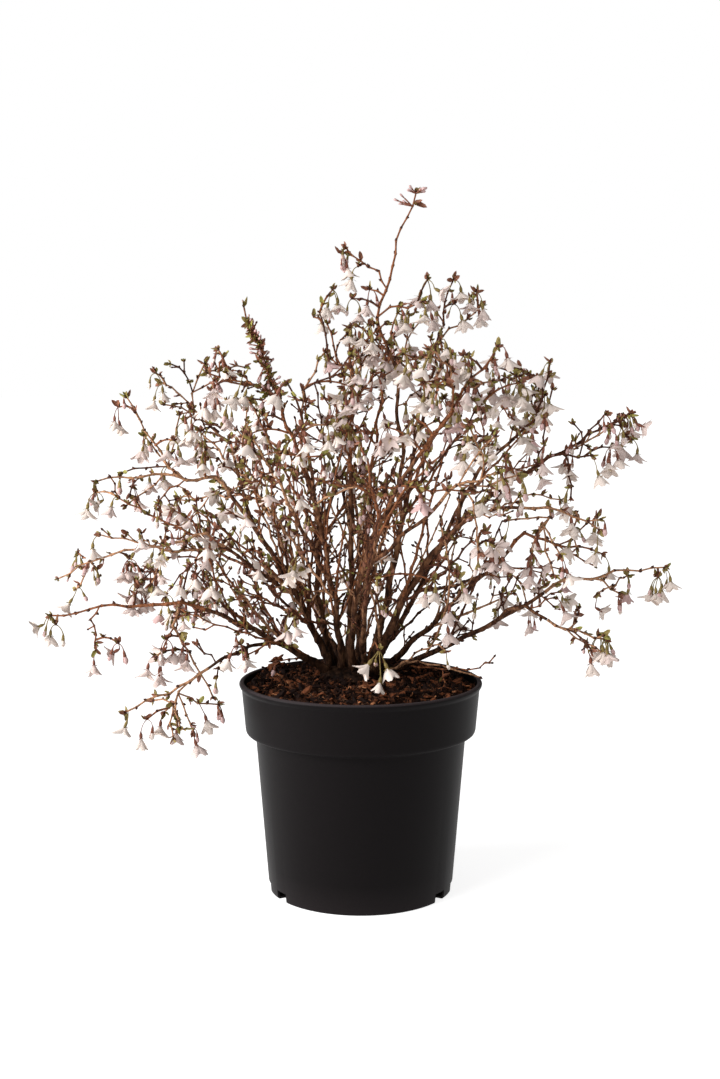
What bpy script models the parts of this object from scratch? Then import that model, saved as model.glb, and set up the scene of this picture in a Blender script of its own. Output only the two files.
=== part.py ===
"""A small flowering shrub with many stems, growing in a round nursery pot.

Sizes are in millimetres and are turned into metres where a mesh is made. The pot stands on the
origin, +Z is up and the front of the plant faces -Y. Stems rise from a low root crown, boughs leave
the stems, and from every limb a mass of twigs and hanging blossoms grows outwards.
"""

import math
import random

import bmesh
import bpy
import numpy as np

MM = 0.001
GAP = 0.3  # between two pieces that touch

# pot
POT_SIDES = 40
POT_HEIGHT = 217.0
RIM_RADIUS = 125.0
LIP_HEIGHT = 5.0
COLLAR_TOP_RADIUS = 118.5
COLLAR_BOTTOM_RADIUS = 115.4
COLLAR_HEIGHT = 52.0
BODY_TOP_RADIUS = 104.5
FOOT_RADIUS = 91.0
WALL = 1.8
FLOOR = 2.2
NOTCH_HEIGHT = 9.5
NOTCH_DEPTH = 8.0
# middle and width in degrees round the pot, 0 at the front; each is mirrored to the other side
NOTCHES = ((57.0, 10.0), (90.0, 30.0), (123.0, 10.0))

# compost
SOIL_EDGE = 205.0
SOIL_CENTRE = 217.0
SOIL_RINGS = (46.0, 68.0, 92.0)
SOIL_BUMP = 1.6
PATCH_RADIUS = 46.0  # flat ground under the root crown

# root crown
CROWN_CENTRE = (-6.0, 17.0)
CROWN_SIZE = (39.0, 34.0)
CROWN_HEIGHT = 13.0
CROWN_SIDES = 20
FOOT_HEIGHT = 6.0  # where stems start inside the crown, above the ground

# stems: foot on the crown, knee and tip, thickness at the foot and at the tip
STEMS = {
    "stem_low_left": ((-33, 8), (-105, -20, 270), (-155, -35, 295), 9.0, 4.4),
    "stem_left": ((-30, 23), (-65, 15, 300), (-135, 30, 405), 9.0, 4.4),
    "stem_centre_left": ((-24, 34), (-45, 35, 305), (-15, 40, 435), 7.4, 4.0),
    "stem_upper_left": ((-19, 10), (-28, -12, 310), (-55, -25, 430), 8.0, 4.4),
    "stem_centre": ((-13, 24), (-10, 15, 320), (-10, 5, 430), 9.4, 5.0),
    "stem_cross": ((-7, 0), (0, -45, 330), (55, -75, 450), 8.0, 4.2),
    "stem_back_centre": ((2, 32), (5, 55, 300), (10, 85, 405), 7.4, 4.2),
    "stem_right_upright": ((10, 18), (30, 10, 315), (50, 20, 420), 10.2, 5.4),
    "stem_right": ((14, 3), (50, -20, 315), (130, -30, 410), 10.2, 5.4),
    "stem_low_right": ((25, 10), (110, -10, 265), (185, -20, 310), 7.8, 4.0),
    "stem_far_right": ((22, 24), (85, 30, 280), (155, 45, 345), 7.4, 4.2),
    "stem_back_left": ((-19, 45), (-55, 90, 285), (-100, 145, 370), 8.0, 4.2),
    "stem_back_right": ((12, 40), (55, 85, 285), (105, 145, 375), 8.0, 4.2),
    "stem_back": ((-5, 46), (0, 105, 285), (-5, 195, 375), 8.0, 4.2),
    "stem_front": ((3, -9), (5, -75, 310), (15, -125, 380), 6.6, 4.0),
}

# boughs: limb they leave and how far along it, knee and tip, thickness at the foot and at the tip
BOUGHS = {
    "bough_droop": ("stem_low_left", 0.45, (-115, -36, 256), (-150, -55, 240), 4.6, 3.2),
    "bough_left_mid": ("stem_left", 0.42, (-100, 0, 325), (-135, -15, 355), 5.0, 3.6),
    "bough_left_high": ("stem_left", 0.78, (-122, 44, 404), (-132, 60, 438), 4.2, 3.4),
    "bough_upper_left": ("stem_upper_left", 0.7, (-50, -50, 440), (-55, -60, 475), 4.6, 3.4),
    "bough_top": ("stem_right_upright", 0.8, (40, 0, 470), (25, -5, 560), 5.0, 3.4),
    "bough_right_up": ("stem_right", 0.8, (118, -8, 430), (155, -5, 465), 4.8, 3.6),
    "bough_right_mid": ("stem_right", 0.7, (115, -55, 392), (155, -65, 400), 4.8, 3.6),
    "bough_low_right": ("stem_low_right", 0.72, (160, -36, 298), (185, -46, 287), 4.2, 3.2),
    "bough_front_right": ("stem_cross", 0.48, (35, -90, 370), (75, -115, 410), 5.0, 3.6),
    "bough_front_left": ("stem_upper_left", 0.42, (-45, -60, 355), (-65, -95, 400), 5.0, 3.6),
    "bough_back_left": ("stem_back_left", 0.5, (-95, 125, 305), (-140, 160, 320), 5.0, 3.6),
    "bough_back_right": ("stem_back_right", 0.5, (95, 125, 295), (140, 160, 305), 5.0, 3.6),
}

# masses: limb they continue, and the points their main twigs reach
MASSES = {
    "twigs_left_long": ("stem_low_left", (-308, -40, 290), (-270, -10, 250), (-150, -25, 205)),
    "twigs_left_droop": ("bough_droop", (-230, -75, 200), (-195, -50, 195)),
    "twigs_left_arm": ("bough_left_mid", (-308, 0, 322), (-292, 25, 345), (-210, -25, 320)),
    "twigs_left": ("stem_left", (-270, 20, 420), (-225, 45, 465), (-240, 30, 505)),
    "twigs_left_high": ("bough_left_high", (-210, 75, 520), (-175, 50, 485), (-165, 80, 540)),
    "twigs_spire_left": ("stem_upper_left", (-115, -25, 595), (-150, -40, 530), (-85, -10, 510)),
    "twigs_shoulder": ("bough_upper_left", (-70, -70, 520), (-35, -60, 550)),
    "twigs_top_left": ("stem_centre_left", (-40, 35, 590), (-15, 50, 570)),
    "twigs_top_centre": ("stem_centre", (-10, 0, 575), (-30, 20, 545)),
    "twigs_top_spire": ("bough_top", (55, 5, 708), (-15, 10, 655), (60, -20, 600)),
    "twigs_top_right": ("stem_right_upright", (95, 40, 625), (125, 50, 600)),
    "twigs_right_shoulder": ("stem_cross", (130, -80, 555), (75, -95, 560)),
    "twigs_right_arm": ("stem_right", (265, -35, 490), (270, -20, 465), (225, -50, 450)),
    "twigs_right_up": ("bough_right_up", (190, 0, 540), (160, 15, 535)),
    "twigs_right_mid": ("bough_right_mid", (230, -75, 380), (210, -60, 395), (170, -85, 380)),
    "twigs_right_back": ("stem_far_right", (255, 60, 340), (240, 75, 370)),
    "twigs_right_long": ("stem_low_right", (303, -30, 337), (260, -20, 310)),
    "twigs_right_droop": ("bough_low_right", (240, -60, 270), (215, -45, 290)),
    "twigs_front_right": ("bough_front_right", (125, -150, 440), (100, -150, 480), (110, -130, 365)),
    "twigs_front": ("stem_front", (0, -185, 470), (-35, -190, 435), (50, -200, 430)),
    "twigs_front_left": ("bough_front_left", (-100, -135, 470), (-105, -150, 415), (-55, -140, 480)),
    "twigs_back_left": ("stem_back_left", (-185, 205, 465), (-210, 210, 385), (-125, 190, 500)),
    "twigs_back_left_low": ("bough_back_left", (-230, 200, 315), (-205, 190, 270)),
    "twigs_back": ("stem_back", (-20, 250, 510), (-70, 255, 465), (45, 260, 450)),
    "twigs_back_right": ("stem_back_right", (195, 205, 465), (135, 190, 500), (230, 210, 385)),
    "twigs_back_right_low": ("bough_back_right", (230, 205, 305), (195, 190, 260)),
    "twigs_top_back": ("stem_back_centre", (40, 110, 595), (0, 120, 565), (85, 130, 555)),
}

# twigs and blossoms
STEP = 24.0  # from node to node of a twig
KINK = 2.6  # how far each node stands off the line
TWIG_TIP = 0.8  # radius of a twig's end
NODE_OFFSET = 2.0  # side pieces leave a twig this far past its node
SUNK = 0.5  # radius of a side piece's buried end, of the radius of its twig
OVERHANG = 4.0  # how far side twigs may pass the main twigs' tips
SIDE_TWIGS = 7
SIDE_LENGTH = (34.0, 62.0)
BLOSSOMS = 8
PEDICEL = (9.0, 15.0)
BELL_LENGTH = 15.0
BELL_RADIUS = 8.0
CLEARANCE = 1.0  # kept between limbs and masses

SOIL_COLOUR = (0.045, 0.026, 0.018)
POT_COLOUR = (0.012, 0.011, 0.012)
BARK_COLOUR = (0.105, 0.052, 0.030)
TWIG_COLOUR = (0.42, 0.33, 0.30)


def clear_scene():
    for thing in list(bpy.data.objects):
        bpy.data.objects.remove(thing, do_unlink=True)


def material(name, colour, roughness):
    made = bpy.data.materials.new(name)
    made.use_nodes = True
    shader = made.node_tree.nodes["Principled BSDF"]
    shader.inputs["Base Color"].default_value = (*colour, 1.0)
    shader.inputs["Roughness"].default_value = roughness
    made.diffuse_color = (*colour, 1.0)
    return made


def add_mesh(name, points, faces, look=None):
    mesh = bpy.data.meshes.new(name)
    mesh.from_pydata([tuple(float(v) * MM for v in p) for p in points], [], faces)
    shape = bmesh.new()
    shape.from_mesh(mesh)
    bmesh.ops.recalc_face_normals(shape, faces=shape.faces)
    shape.to_mesh(mesh)
    shape.free()
    made = bpy.data.objects.new(name, mesh)
    bpy.context.scene.collection.objects.link(made)
    if look:
        mesh.materials.append(look)
    return made


def boolean(target, operation, cutter=None, collection=None, solver="EXACT"):
    """Applies one Boolean to target and removes what it used."""
    step = target.modifiers.new("join", "BOOLEAN")
    step.operation = operation
    step.solver = solver
    used = [cutter]
    if collection is not None:
        step.operand_type = "COLLECTION"
        step.collection = collection
        used = list(collection.objects)
    else:
        step.object = cutter
    graph = bpy.context.evaluated_depsgraph_get()
    result = bpy.data.meshes.new_from_object(target.evaluated_get(graph))
    target.modifiers.clear()
    target.data = result
    for thing in used:
        bpy.data.objects.remove(thing, do_unlink=True)


def unit(vector):
    return np.asarray(vector, float) / np.linalg.norm(vector)


def lathe(profile, sides, closed):
    """A profile of (radius, height) turned round Z; the end points on the axis become one point each."""
    points, faces, rings = [], [], []
    for radius, height in profile:
        if radius == 0:
            rings.append([len(points)] * sides)
            points.append((0.0, 0.0, height))
            continue
        rings.append(list(range(len(points), len(points) + sides)))
        for i in range(sides):
            angle = 2 * math.pi * (i + 0.5) / sides
            points.append((radius * math.sin(angle), -radius * math.cos(angle), height))
    for lower, upper in zip(rings, rings[1:] + (rings[:1] if closed else [])):
        for i in range(sides):
            j = (i + 1) % sides
            corners = [lower[i], lower[j], upper[j], upper[i]]
            faces.append(tuple(dict.fromkeys(corners)))
    return points, faces


def inner_radius(height):
    """Radius of the pot's inside wall at a height."""
    shoulder = POT_HEIGHT - COLLAR_HEIGHT
    if height < shoulder - 2.0:
        share = height / shoulder
        return FOOT_RADIUS + (BODY_TOP_RADIUS - FOOT_RADIUS) * share - WALL
    share = (height - shoulder) / COLLAR_HEIGHT
    return COLLAR_BOTTOM_RADIUS + (COLLAR_TOP_RADIUS - COLLAR_BOTTOM_RADIUS) * share - WALL


def pot_profile():
    """The wall as a closed loop, up the outside, over the rolled lip and down the inside to the floor."""
    shoulder = POT_HEIGHT - COLLAR_HEIGHT
    lip = POT_HEIGHT - LIP_HEIGHT
    outside = [
        (0.0, 0.0),
        (FOOT_RADIUS, 0.0),
        (BODY_TOP_RADIUS, shoulder - 2.0),
        (COLLAR_BOTTOM_RADIUS - 2.0, shoulder),
        (COLLAR_BOTTOM_RADIUS, shoulder + 2.0),
        (COLLAR_TOP_RADIUS, lip - 2.0),
        (RIM_RADIUS - 1.0, lip),
        (RIM_RADIUS, POT_HEIGHT - 2.0),
        (RIM_RADIUS - 3.0, POT_HEIGHT),
    ]
    inside = [
        (COLLAR_TOP_RADIUS - WALL, POT_HEIGHT - 3.0),
        (inner_radius(shoulder + 2.0), shoulder + 2.0),
        (BODY_TOP_RADIUS - WALL, shoulder),
        (FOOT_RADIUS - WALL, FLOOR),
        (0.0, FLOOR),
    ]
    return outside + inside


def notch_cutter(middle, width):
    """A block that cuts one drain notch through the corner of wall and floor."""
    points = []
    for height in (-3.0, NOTCH_HEIGHT):
        for side in (-0.5, 0.5):
            for radius in (FOOT_RADIUS - NOTCH_DEPTH, FOOT_RADIUS + 14.0):
                angle = math.radians(middle + side * width)
                points.append((radius * math.sin(angle), -radius * math.cos(angle), height))
    faces = [(0, 1, 3, 2), (4, 5, 7, 6), (0, 1, 5, 4), (2, 3, 7, 6), (0, 2, 6, 4), (1, 3, 7, 5)]
    return add_mesh("notch", points, faces)


def build_pot():
    points, faces = lathe(pot_profile(), POT_SIDES, closed=False)
    pot = add_mesh("pot", points, faces, material("pot_plastic", POT_COLOUR, 0.42))
    for middle, width in NOTCHES:
        for sign in (1, -1):
            boolean(pot, "DIFFERENCE", notch_cutter(sign * middle, width))
    return pot


def soil_height(x, y):
    """The mounded surface of the compost, flat under the root crown."""
    out = math.hypot(x - CROWN_CENTRE[0], y - CROWN_CENTRE[1])
    share = min(1.0, max(0.0, (out - PATCH_RADIUS) / (inner_radius(SOIL_EDGE) - PATCH_RADIUS)))
    bump = SOIL_BUMP * math.sin(x * 0.11 + 1.0) * math.cos(y * 0.13 - 0.4) * min(1.0, 4 * share)
    return SOIL_CENTRE + (SOIL_EDGE - SOIL_CENTRE) * share ** 1.3 + bump


def build_soil():
    """The compost fills the pot: flat below, its side just inside the wall, its top mounded."""
    shoulder = POT_HEIGHT - COLLAR_HEIGHT
    side = [
        (0.0, FLOOR + GAP),
        (FOOT_RADIUS - NOTCH_DEPTH - 4.0, FLOOR + GAP),
        (inner_radius(NOTCH_HEIGHT + 6.0) - 2 * GAP, NOTCH_HEIGHT + 6.0),
        (BODY_TOP_RADIUS - WALL - GAP, shoulder + 0.5),
        (inner_radius(shoulder + 2.0) - 2 * GAP, shoulder + 2.6),
    ]
    edge = inner_radius(SOIL_EDGE) - 2 * GAP
    top = [(radius, None) for radius in (edge, *reversed(SOIL_RINGS), 0.0)]
    points, faces = lathe([(r, 0.0 if z is None else z) for r, z in side + top], POT_SIDES, closed=False)
    first = 1 + POT_SIDES * (len(side) - 1)
    for i in range(first, len(points)):
        x, y, _ = points[i]
        points[i] = (x, y, soil_height(x, y))
    return add_mesh("compost", points, faces, material("compost", SOIL_COLOUR, 0.95))


def crown_mesh(name, grow):
    """The low flared root crown, made larger all round by grow, cut flat at the ground."""
    base = SOIL_CENTRE + GAP
    rings = ((0.0, 1.0), (0.35, 0.9), (0.75, 0.66), (1.0, 0.34))
    points = []
    for rise, share in rings:
        for i in range(CROWN_SIDES):
            angle = 2 * math.pi * i / CROWN_SIDES
            lobe = 1.0 + 0.09 * math.cos(5 * angle + 0.6) * (1.0 - rise)
            spread = [size * share * lobe + grow for size in CROWN_SIZE]
            height = base + CROWN_HEIGHT * rise + (grow if rise else -grow)
            x = CROWN_CENTRE[0] + spread[0] * math.cos(angle)
            y = CROWN_CENTRE[1] + spread[1] * math.sin(angle)
            points.append((x, y, height))
    faces = [tuple(range(CROWN_SIDES)), tuple(range(len(points) - CROWN_SIDES, len(points)))]
    for ring in range(len(rings) - 1):
        for i in range(CROWN_SIDES):
            a, b = ring * CROWN_SIDES + i, ring * CROWN_SIDES + (i + 1) % CROWN_SIDES
            faces.append((a, b, b + CROWN_SIDES, a + CROWN_SIDES))
    return add_mesh(name, points, faces)


def tube(path, radii, sides, turn=0.0):
    """Points and faces of a closed tube along path, its corners turned round it by turn."""
    path = np.asarray(path, float)
    ahead = np.diff(path, axis=0)
    ahead /= np.linalg.norm(ahead, axis=1)[:, None]
    along = np.vstack([ahead[:1], ahead[:-1] + ahead[1:], ahead[-1:]])
    side = np.cross(along[0], (0.0, 0.0, 1.0) if abs(along[0][2]) < 0.8 else (1.0, 0.0, 0.0))
    points = []
    for centre, heading, radius in zip(path, along, radii):
        heading = unit(heading)
        side = unit(side - heading * side.dot(heading))
        over = np.cross(heading, side)
        for i in range(sides):
            angle = turn + 2 * math.pi * i / sides
            points.append(centre + radius * (side * math.cos(angle) + over * math.sin(angle)))
    faces = [tuple(range(sides)), tuple(range(len(points) - sides, len(points)))]
    for ring in range(len(path) - 1):
        for i in range(sides):
            a, b = ring * sides + i, ring * sides + (i + 1) % sides
            faces.append((a, b, b + sides, a + sides))
    return points, faces


def bell(start, heading, length, turn=0.0):
    """A blossom hanging on its pedicel: a thin stalk that opens into a four-sided bell."""
    start, heading = np.asarray(start, float), unit(heading)
    path = [start, start + heading * length, start + heading * (length + BELL_LENGTH)]
    points, faces = tube(path, (0.4, 1.0, BELL_RADIUS), 4, turn)
    faces.pop(1)
    points.append(start + heading * (length + BELL_LENGTH * 0.8))
    mouth = range(8, 12)
    faces += [(a, 8 + (a - 7) % 4, 12) for a in mouth]
    return points, faces


class Room:
    """The rods that limbs, twigs and blossoms fill, so that each piece keeps to its own space."""

    def __init__(self):
        self.starts = np.zeros((0, 3))
        self.steps = np.zeros((0, 3))
        self.radii = np.zeros(0)
        self.owners = []

    def add(self, owner, path, radii):
        path = np.asarray(path, float)
        self.starts = np.vstack([self.starts, path[:-1]])
        self.steps = np.vstack([self.steps, np.diff(path, axis=0)])
        self.radii = np.append(self.radii, [max(pair) for pair in zip(radii, radii[1:])])
        self.owners += [owner] * (len(path) - 1)

    def distances(self, a, b):
        """Shortest distance from the rod a-b to the middle line of every rod."""
        d1, d2, r = b - a, self.steps, a - self.starts
        aa, ee = d1.dot(d1), np.einsum("ij,ij->i", d2, d2)
        cc, ff, bb = r @ d1, np.einsum("ij,ij->i", d2, r), d2 @ d1
        under = aa * ee - bb * bb
        s = np.where(under > 1e-9, (bb * ff - cc * ee) / np.maximum(under, 1e-9), 0.0).clip(0, 1)
        t = ((bb * s + ff) / ee).clip(0, 1)
        s = ((bb * t - cc) / aa).clip(0, 1)
        return np.linalg.norm(r + s[:, None] * d1 - t[:, None] * d2, axis=1)

    def is_clear(self, path, radii, near=(), free=0.0, margin=CLEARANCE):
        """Whether a path keeps clear of all; its first free millimetres may touch the owners in near."""
        if not self.owners:
            return True
        path = np.asarray(path, float)
        close = np.isin(self.owners, list(near))
        travelled = 0.0
        for i in range(len(path) - 1):
            a, b = path[i], path[i + 1]
            length = float(np.linalg.norm(b - a))
            room = self.distances(a, b) - self.radii - max(radii[i], radii[i + 1]) - margin
            if travelled + length <= free:
                room = room[~close]
            elif travelled < free:
                later = a + (b - a) * (free - travelled) / length
                room[close] = (self.distances(later, b) - self.radii)[close] - radii[i + 1] - margin
            if room.size and room.min() < 0:
                return False
            travelled += length
        return True


def curve(start, knee, tip, parts):
    """A smooth path from start past knee to tip."""
    start, knee, tip = (np.asarray(p, float) for p in (start, knee, tip))
    first, second = np.linalg.norm(knee - start), np.linalg.norm(tip - knee)
    bend = first / (first + second)
    through = (knee - start * (1 - bend) ** 2 - tip * bend ** 2) / (2 * bend * (1 - bend))
    shares = np.linspace(0, 1, parts + 1)[:, None]
    return start * (1 - shares) ** 2 + through * 2 * shares * (1 - shares) + tip * shares ** 2


def wander(path, amount, rng):
    """Moves the inner points of a path to alternate sides, as growth from node to node does."""
    path = np.array(path, float)
    along = unit(path[-1] - path[0])
    side = unit(np.cross(along, [rng.uniform(-1, 1) for _ in range(3)]))
    over = np.cross(along, side)
    for i in range(1, len(path) - 1):
        push = amount * rng.uniform(0.5, 1.2) * (1 if i % 2 else -1)
        path[i] += side * push + over * rng.uniform(-0.5, 0.5) * amount
    return path


def taper(thick, thin, count, flare=0.0):
    """Radii from thick to thin diameter, with a flare over the first quarter."""
    shares = np.linspace(0, 1, count)
    swell = 1 + flare * np.clip(1 - shares * 4, 0, 1)
    return (thick + (thin - thick) * shares ** 0.8) / 2 * swell


def limb_path(name, start, knee, tip, radii, parts, near, free, room):
    """The limb's path with the first seeded wander that stays clear of the limbs before it."""
    for attempt in range(60):
        rng = random.Random(f"{name} {attempt}")
        path = wander(curve(start, knee, tip, parts), 1.5 + attempt * 0.12, rng)
        if room.is_clear(path, radii, near, free):
            break
    room.add(name, path, radii)
    return path


def grow_limbs(room):
    """Paths and radii of all stems and boughs by name."""
    limbs = {}
    for name, (foot, knee, tip, thick, thin) in STEMS.items():
        start = (*foot, SOIL_CENTRE + FOOT_HEIGHT)
        radii = taper(thick, thin, 9, flare=0.35)
        path = limb_path(name, start, knee, tip, radii, 8, set(STEMS), 26.0, room)
        limbs[name] = (path, radii)
    for name, (parent, share, knee, tip, thick, thin) in BOUGHS.items():
        path, _ = limbs[parent]
        place = share * (len(path) - 1)
        i = int(place)
        start = path[i] + (path[i + 1] - path[i]) * (place - i)
        radii = taper(thick, thin, 6, flare=0.15)
        way = limb_path(name, start, knee, tip, radii, 5, {parent}, 16.0, room)
        limbs[name] = (way, radii)
    return limbs


def leader_path(name, start, heading, tip, radii, near, room, free=9.0):
    """A main twig from start along heading to tip, on the first seeded way that is clear."""
    start, tip = np.asarray(start, float), np.asarray(tip, float)
    length = np.linalg.norm(tip - start)
    count = max(3, round(length / STEP))
    for attempt in range(80):
        rng = random.Random(f"{name} {attempt}")
        sway = np.array([rng.uniform(-1, 1) for _ in range(3)]) * attempt * 0.5
        knee = (start + tip) / 2 + unit(heading) * length * 0.12 + sway
        path = wander(curve(start, knee, tip, count), KINK, rng)
        path[1] = start + unit(heading) * length / count
        if room.is_clear(path, np.linspace(*radii, count + 1), near, free):
            break
    return path


def side_heading(along, rng, lean=0.0):
    """A direction that leaves along sideways, turned a little upwards by lean."""
    across = unit(np.cross(unit(along), [rng.uniform(-1, 1) for _ in range(3)]))
    angle = math.radians(rng.uniform(38, 66))
    heading = unit(along) * math.cos(angle) + across * math.sin(angle)
    return unit(heading + np.array([0.0, 0.0, lean]))


class Twig:
    """One twig: its path, its radii and the mass it belongs to."""

    def __init__(self, path, radii):
        self.path = np.asarray(path, float)
        self.radii = np.asarray(radii, float)


def past_node(twig, i):
    """The point just past node i of a twig where a side piece starts, and the direction there."""
    ahead = unit(twig.path[i + 1] - twig.path[i])
    return twig.path[i] + ahead * NODE_OFFSET, ahead


def within_reach(point, tips):
    """Whether a point stays inside the height and the spread that the main twigs of a mass reach."""
    spread = max(math.hypot(x, y) for x, y, _ in tips)
    top = max(z for _, _, z in tips)
    return math.hypot(point[0], point[1]) < spread + OVERHANG and point[2] < top + OVERHANG


def grow_leaders(limbs, room):
    """The main twigs of every mass: one goes on from the limb, the others leave it on the way."""
    masses = {}
    for name, (limb, *tips) in MASSES.items():
        path, widths = limbs[limb]
        along = unit(path[-1] - path[-2])
        start, thick = path[-1] + along * GAP, widths[-1]
        way = leader_path(name, start, along, tips[0], (thick, TWIG_TIP), {limb}, room)
        first = Twig(way, np.linspace(thick, TWIG_TIP, len(way)))
        masses[name] = [first]
        room.add(name, first.path, first.radii)
    for name, (limb, *tips) in MASSES.items():
        first = masses[name][0]
        for number, tip in enumerate(tips[1:]):
            reach = [
                (np.linalg.norm(tip - node) * (1.6 - unit(tip - node).dot(unit(first.path[i + 1] - node))), i)
                for i, node in enumerate(first.path[:-1]) if i > 0
            ]
            i = min(reach)[1]
            start, ahead = past_node(first, i)
            heading = unit(tip - start) + ahead * 0.6
            thick = first.radii[i] * 0.8
            way = leader_path(f"{name} {number}", start, heading, tip, (thick, TWIG_TIP), {name}, room, 24.0)
            twig = Twig(way, np.linspace(thick, TWIG_TIP, len(way)))
            twig.radii[0] = first.radii[i] * SUNK
            masses[name].append(twig)
            room.add(name, twig.path, twig.radii)
    return masses


def grow_side_twigs(masses, room):
    """Short twigs from the nodes of the main ones, one round of all masses after another."""
    wanted = {name: random.Random("side " + name) for name in masses}
    for turn in range(SIDE_TWIGS):
        for name, rng in wanted.items():
            for _ in range(14):
                parent = masses[name][rng.randrange(len(MASSES[name]) - 1)]
                i = rng.randrange(1, len(parent.path) - 1)
                node, along = past_node(parent, i)
                heading = side_heading(along, rng, 0.15)
                length = rng.uniform(*SIDE_LENGTH)
                middle = node + heading * length * 0.5
                end = middle + unit(heading + [rng.uniform(-0.5, 0.5) for _ in range(3)]) * length * 0.5
                radii = np.array([parent.radii[i] * SUNK, 0.95, 0.75])
                if not within_reach(end, MASSES[name][1:]):
                    continue
                if room.is_clear([node, middle, end], radii, {name}, 7.0):
                    twig = Twig([node, middle, end], radii)
                    masses[name].append(twig)
                    room.add(name, twig.path, twig.radii)
                    break


def grow_blossoms(masses, room):
    """Blossoms that hang from the nodes and ends of the twigs."""
    blossoms = {name: [] for name in masses}
    wanted = {name: random.Random("blossom " + name) for name in masses}
    for turn in range(BLOSSOMS):
        for name, rng in wanted.items():
            for _ in range(16):
                twig = masses[name][rng.randrange(len(masses[name]))]
                node, _ = past_node(twig, rng.randrange(1, len(twig.path) - 1))
                if rng.random() < 0.5:
                    node = twig.path[-1] - unit(twig.path[-1] - twig.path[-2]) * NODE_OFFSET
                heading = unit([rng.uniform(-0.6, 0.6), rng.uniform(-0.6, 0.6), -1.0])
                length = rng.uniform(*PEDICEL)
                neck = node + heading * length
                cup = [neck + heading * BELL_LENGTH * 0.45, neck + heading * BELL_LENGTH * 0.85]
                width = (BELL_RADIUS + 0.3,) * 2
                stalk = room.is_clear([node, neck], (1.0, 1.0), {name}, 4.0, 0.5)
                if stalk and room.is_clear(cup, width, (), 0.0, 0.5):
                    blossoms[name].append((node, heading, length))
                    room.add(name, [node, neck], (1.0, 1.0))
                    room.add(name, cup, width)
                    break
    return blossoms


def build_limbs(limbs, bark):
    """Every stem is cut clear of the crown and every bough clear of the limb it leaves."""
    for name, (path, radii) in limbs.items():
        made = add_mesh(name, *tube(path, radii, 6), bark)
        if name in STEMS:
            boolean(made, "DIFFERENCE", crown_mesh("clear", GAP + 0.1))
        else:
            host, widths = limbs[BOUGHS[name][0]]
            boolean(made, "DIFFERENCE", add_mesh("clear", *tube(host, widths + GAP + 0.1, 6)))


def is_sound(mesh):
    """Whether every edge still has two faces, all in one body, when near points are taken as one."""
    points = np.empty(len(mesh.vertices) * 3, np.float32)
    mesh.vertices.foreach_get("co", points)
    grid = np.round(points.reshape(-1, 3) / (2e-4 * MM)).astype(np.int64)
    _, index = np.unique(grid, axis=0, return_inverse=True)
    index = index.reshape(-1)
    edges, group = {}, list(range(len(index)))

    def root(i):
        while group[i] != i:
            i = group[i]
        return i

    mesh.calc_loop_triangles()
    for face in mesh.loop_triangles:
        corners = [int(index[v]) for v in face.vertices]
        if len(set(corners)) < 3:
            continue
        for a, b in zip(corners, corners[1:] + corners[:1]):
            edges[min(a, b), max(a, b)] = edges.get((min(a, b), max(a, b)), 0) + 1
            group[root(a)] = root(b)
    bodies = {root(a) for a, _ in edges}
    return len(bodies) == 1 and all(count == 2 for count in edges.values())


def fuse(name, shapes, look):
    """One Boolean union of all the shapes on a collection."""
    parts = bpy.data.collections.new(name + "_parts")
    bpy.context.scene.collection.children.link(parts)
    made = add_mesh(name, *shapes[0], look)
    for number, shape in enumerate(shapes[1:]):
        piece = add_mesh(f"{name}_{number}", *shape)
        bpy.context.scene.collection.objects.unlink(piece)
        parts.objects.link(piece)
    boolean(made, "UNION", collection=parts)
    bpy.data.collections.remove(parts)
    return made


def build_mass(name, twigs, blossoms, look):
    """Fuses the twigs and blossoms of one mass, turned a little further until the body is sound."""
    for turn in range(12):
        angle = 0.2 + 0.31 * turn
        shapes = [
            tube(twig.path, twig.radii, 4 if number == 0 else 3, angle * (1 + number % 3))
            for number, twig in enumerate(twigs)
        ]
        shapes += [bell(*blossom, angle) for blossom in blossoms]
        made = fuse(name, shapes, look)
        if is_sound(made.data) or turn == 11:
            return
        bpy.data.objects.remove(made, do_unlink=True)


def main():
    clear_scene()
    bark = material("bark", BARK_COLOUR, 0.8)
    build_pot()
    build_soil()
    crown_mesh("root_crown", 0.0).data.materials.append(bark)
    room = Room()
    limbs = grow_limbs(room)
    masses = grow_leaders(limbs, room)
    grow_side_twigs(masses, room)
    blossoms = grow_blossoms(masses, room)
    build_limbs(limbs, bark)
    look = material("twigs_and_blossom", TWIG_COLOUR, 0.7)
    for name, twigs in masses.items():
        build_mass(name, twigs, blossoms[name], look)


main()
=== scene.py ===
"""Studio scene of a small flowering shrub in a nursery pot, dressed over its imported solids.

Lengths are in millimetres and are turned into metres where a mesh is made. The limbs and the main
twigs are worked out by the same rule and seeds as the solids, and then carried on to finer twigs,
buds, leaves and blossoms.
"""

import math
import random
from collections import defaultdict

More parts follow.
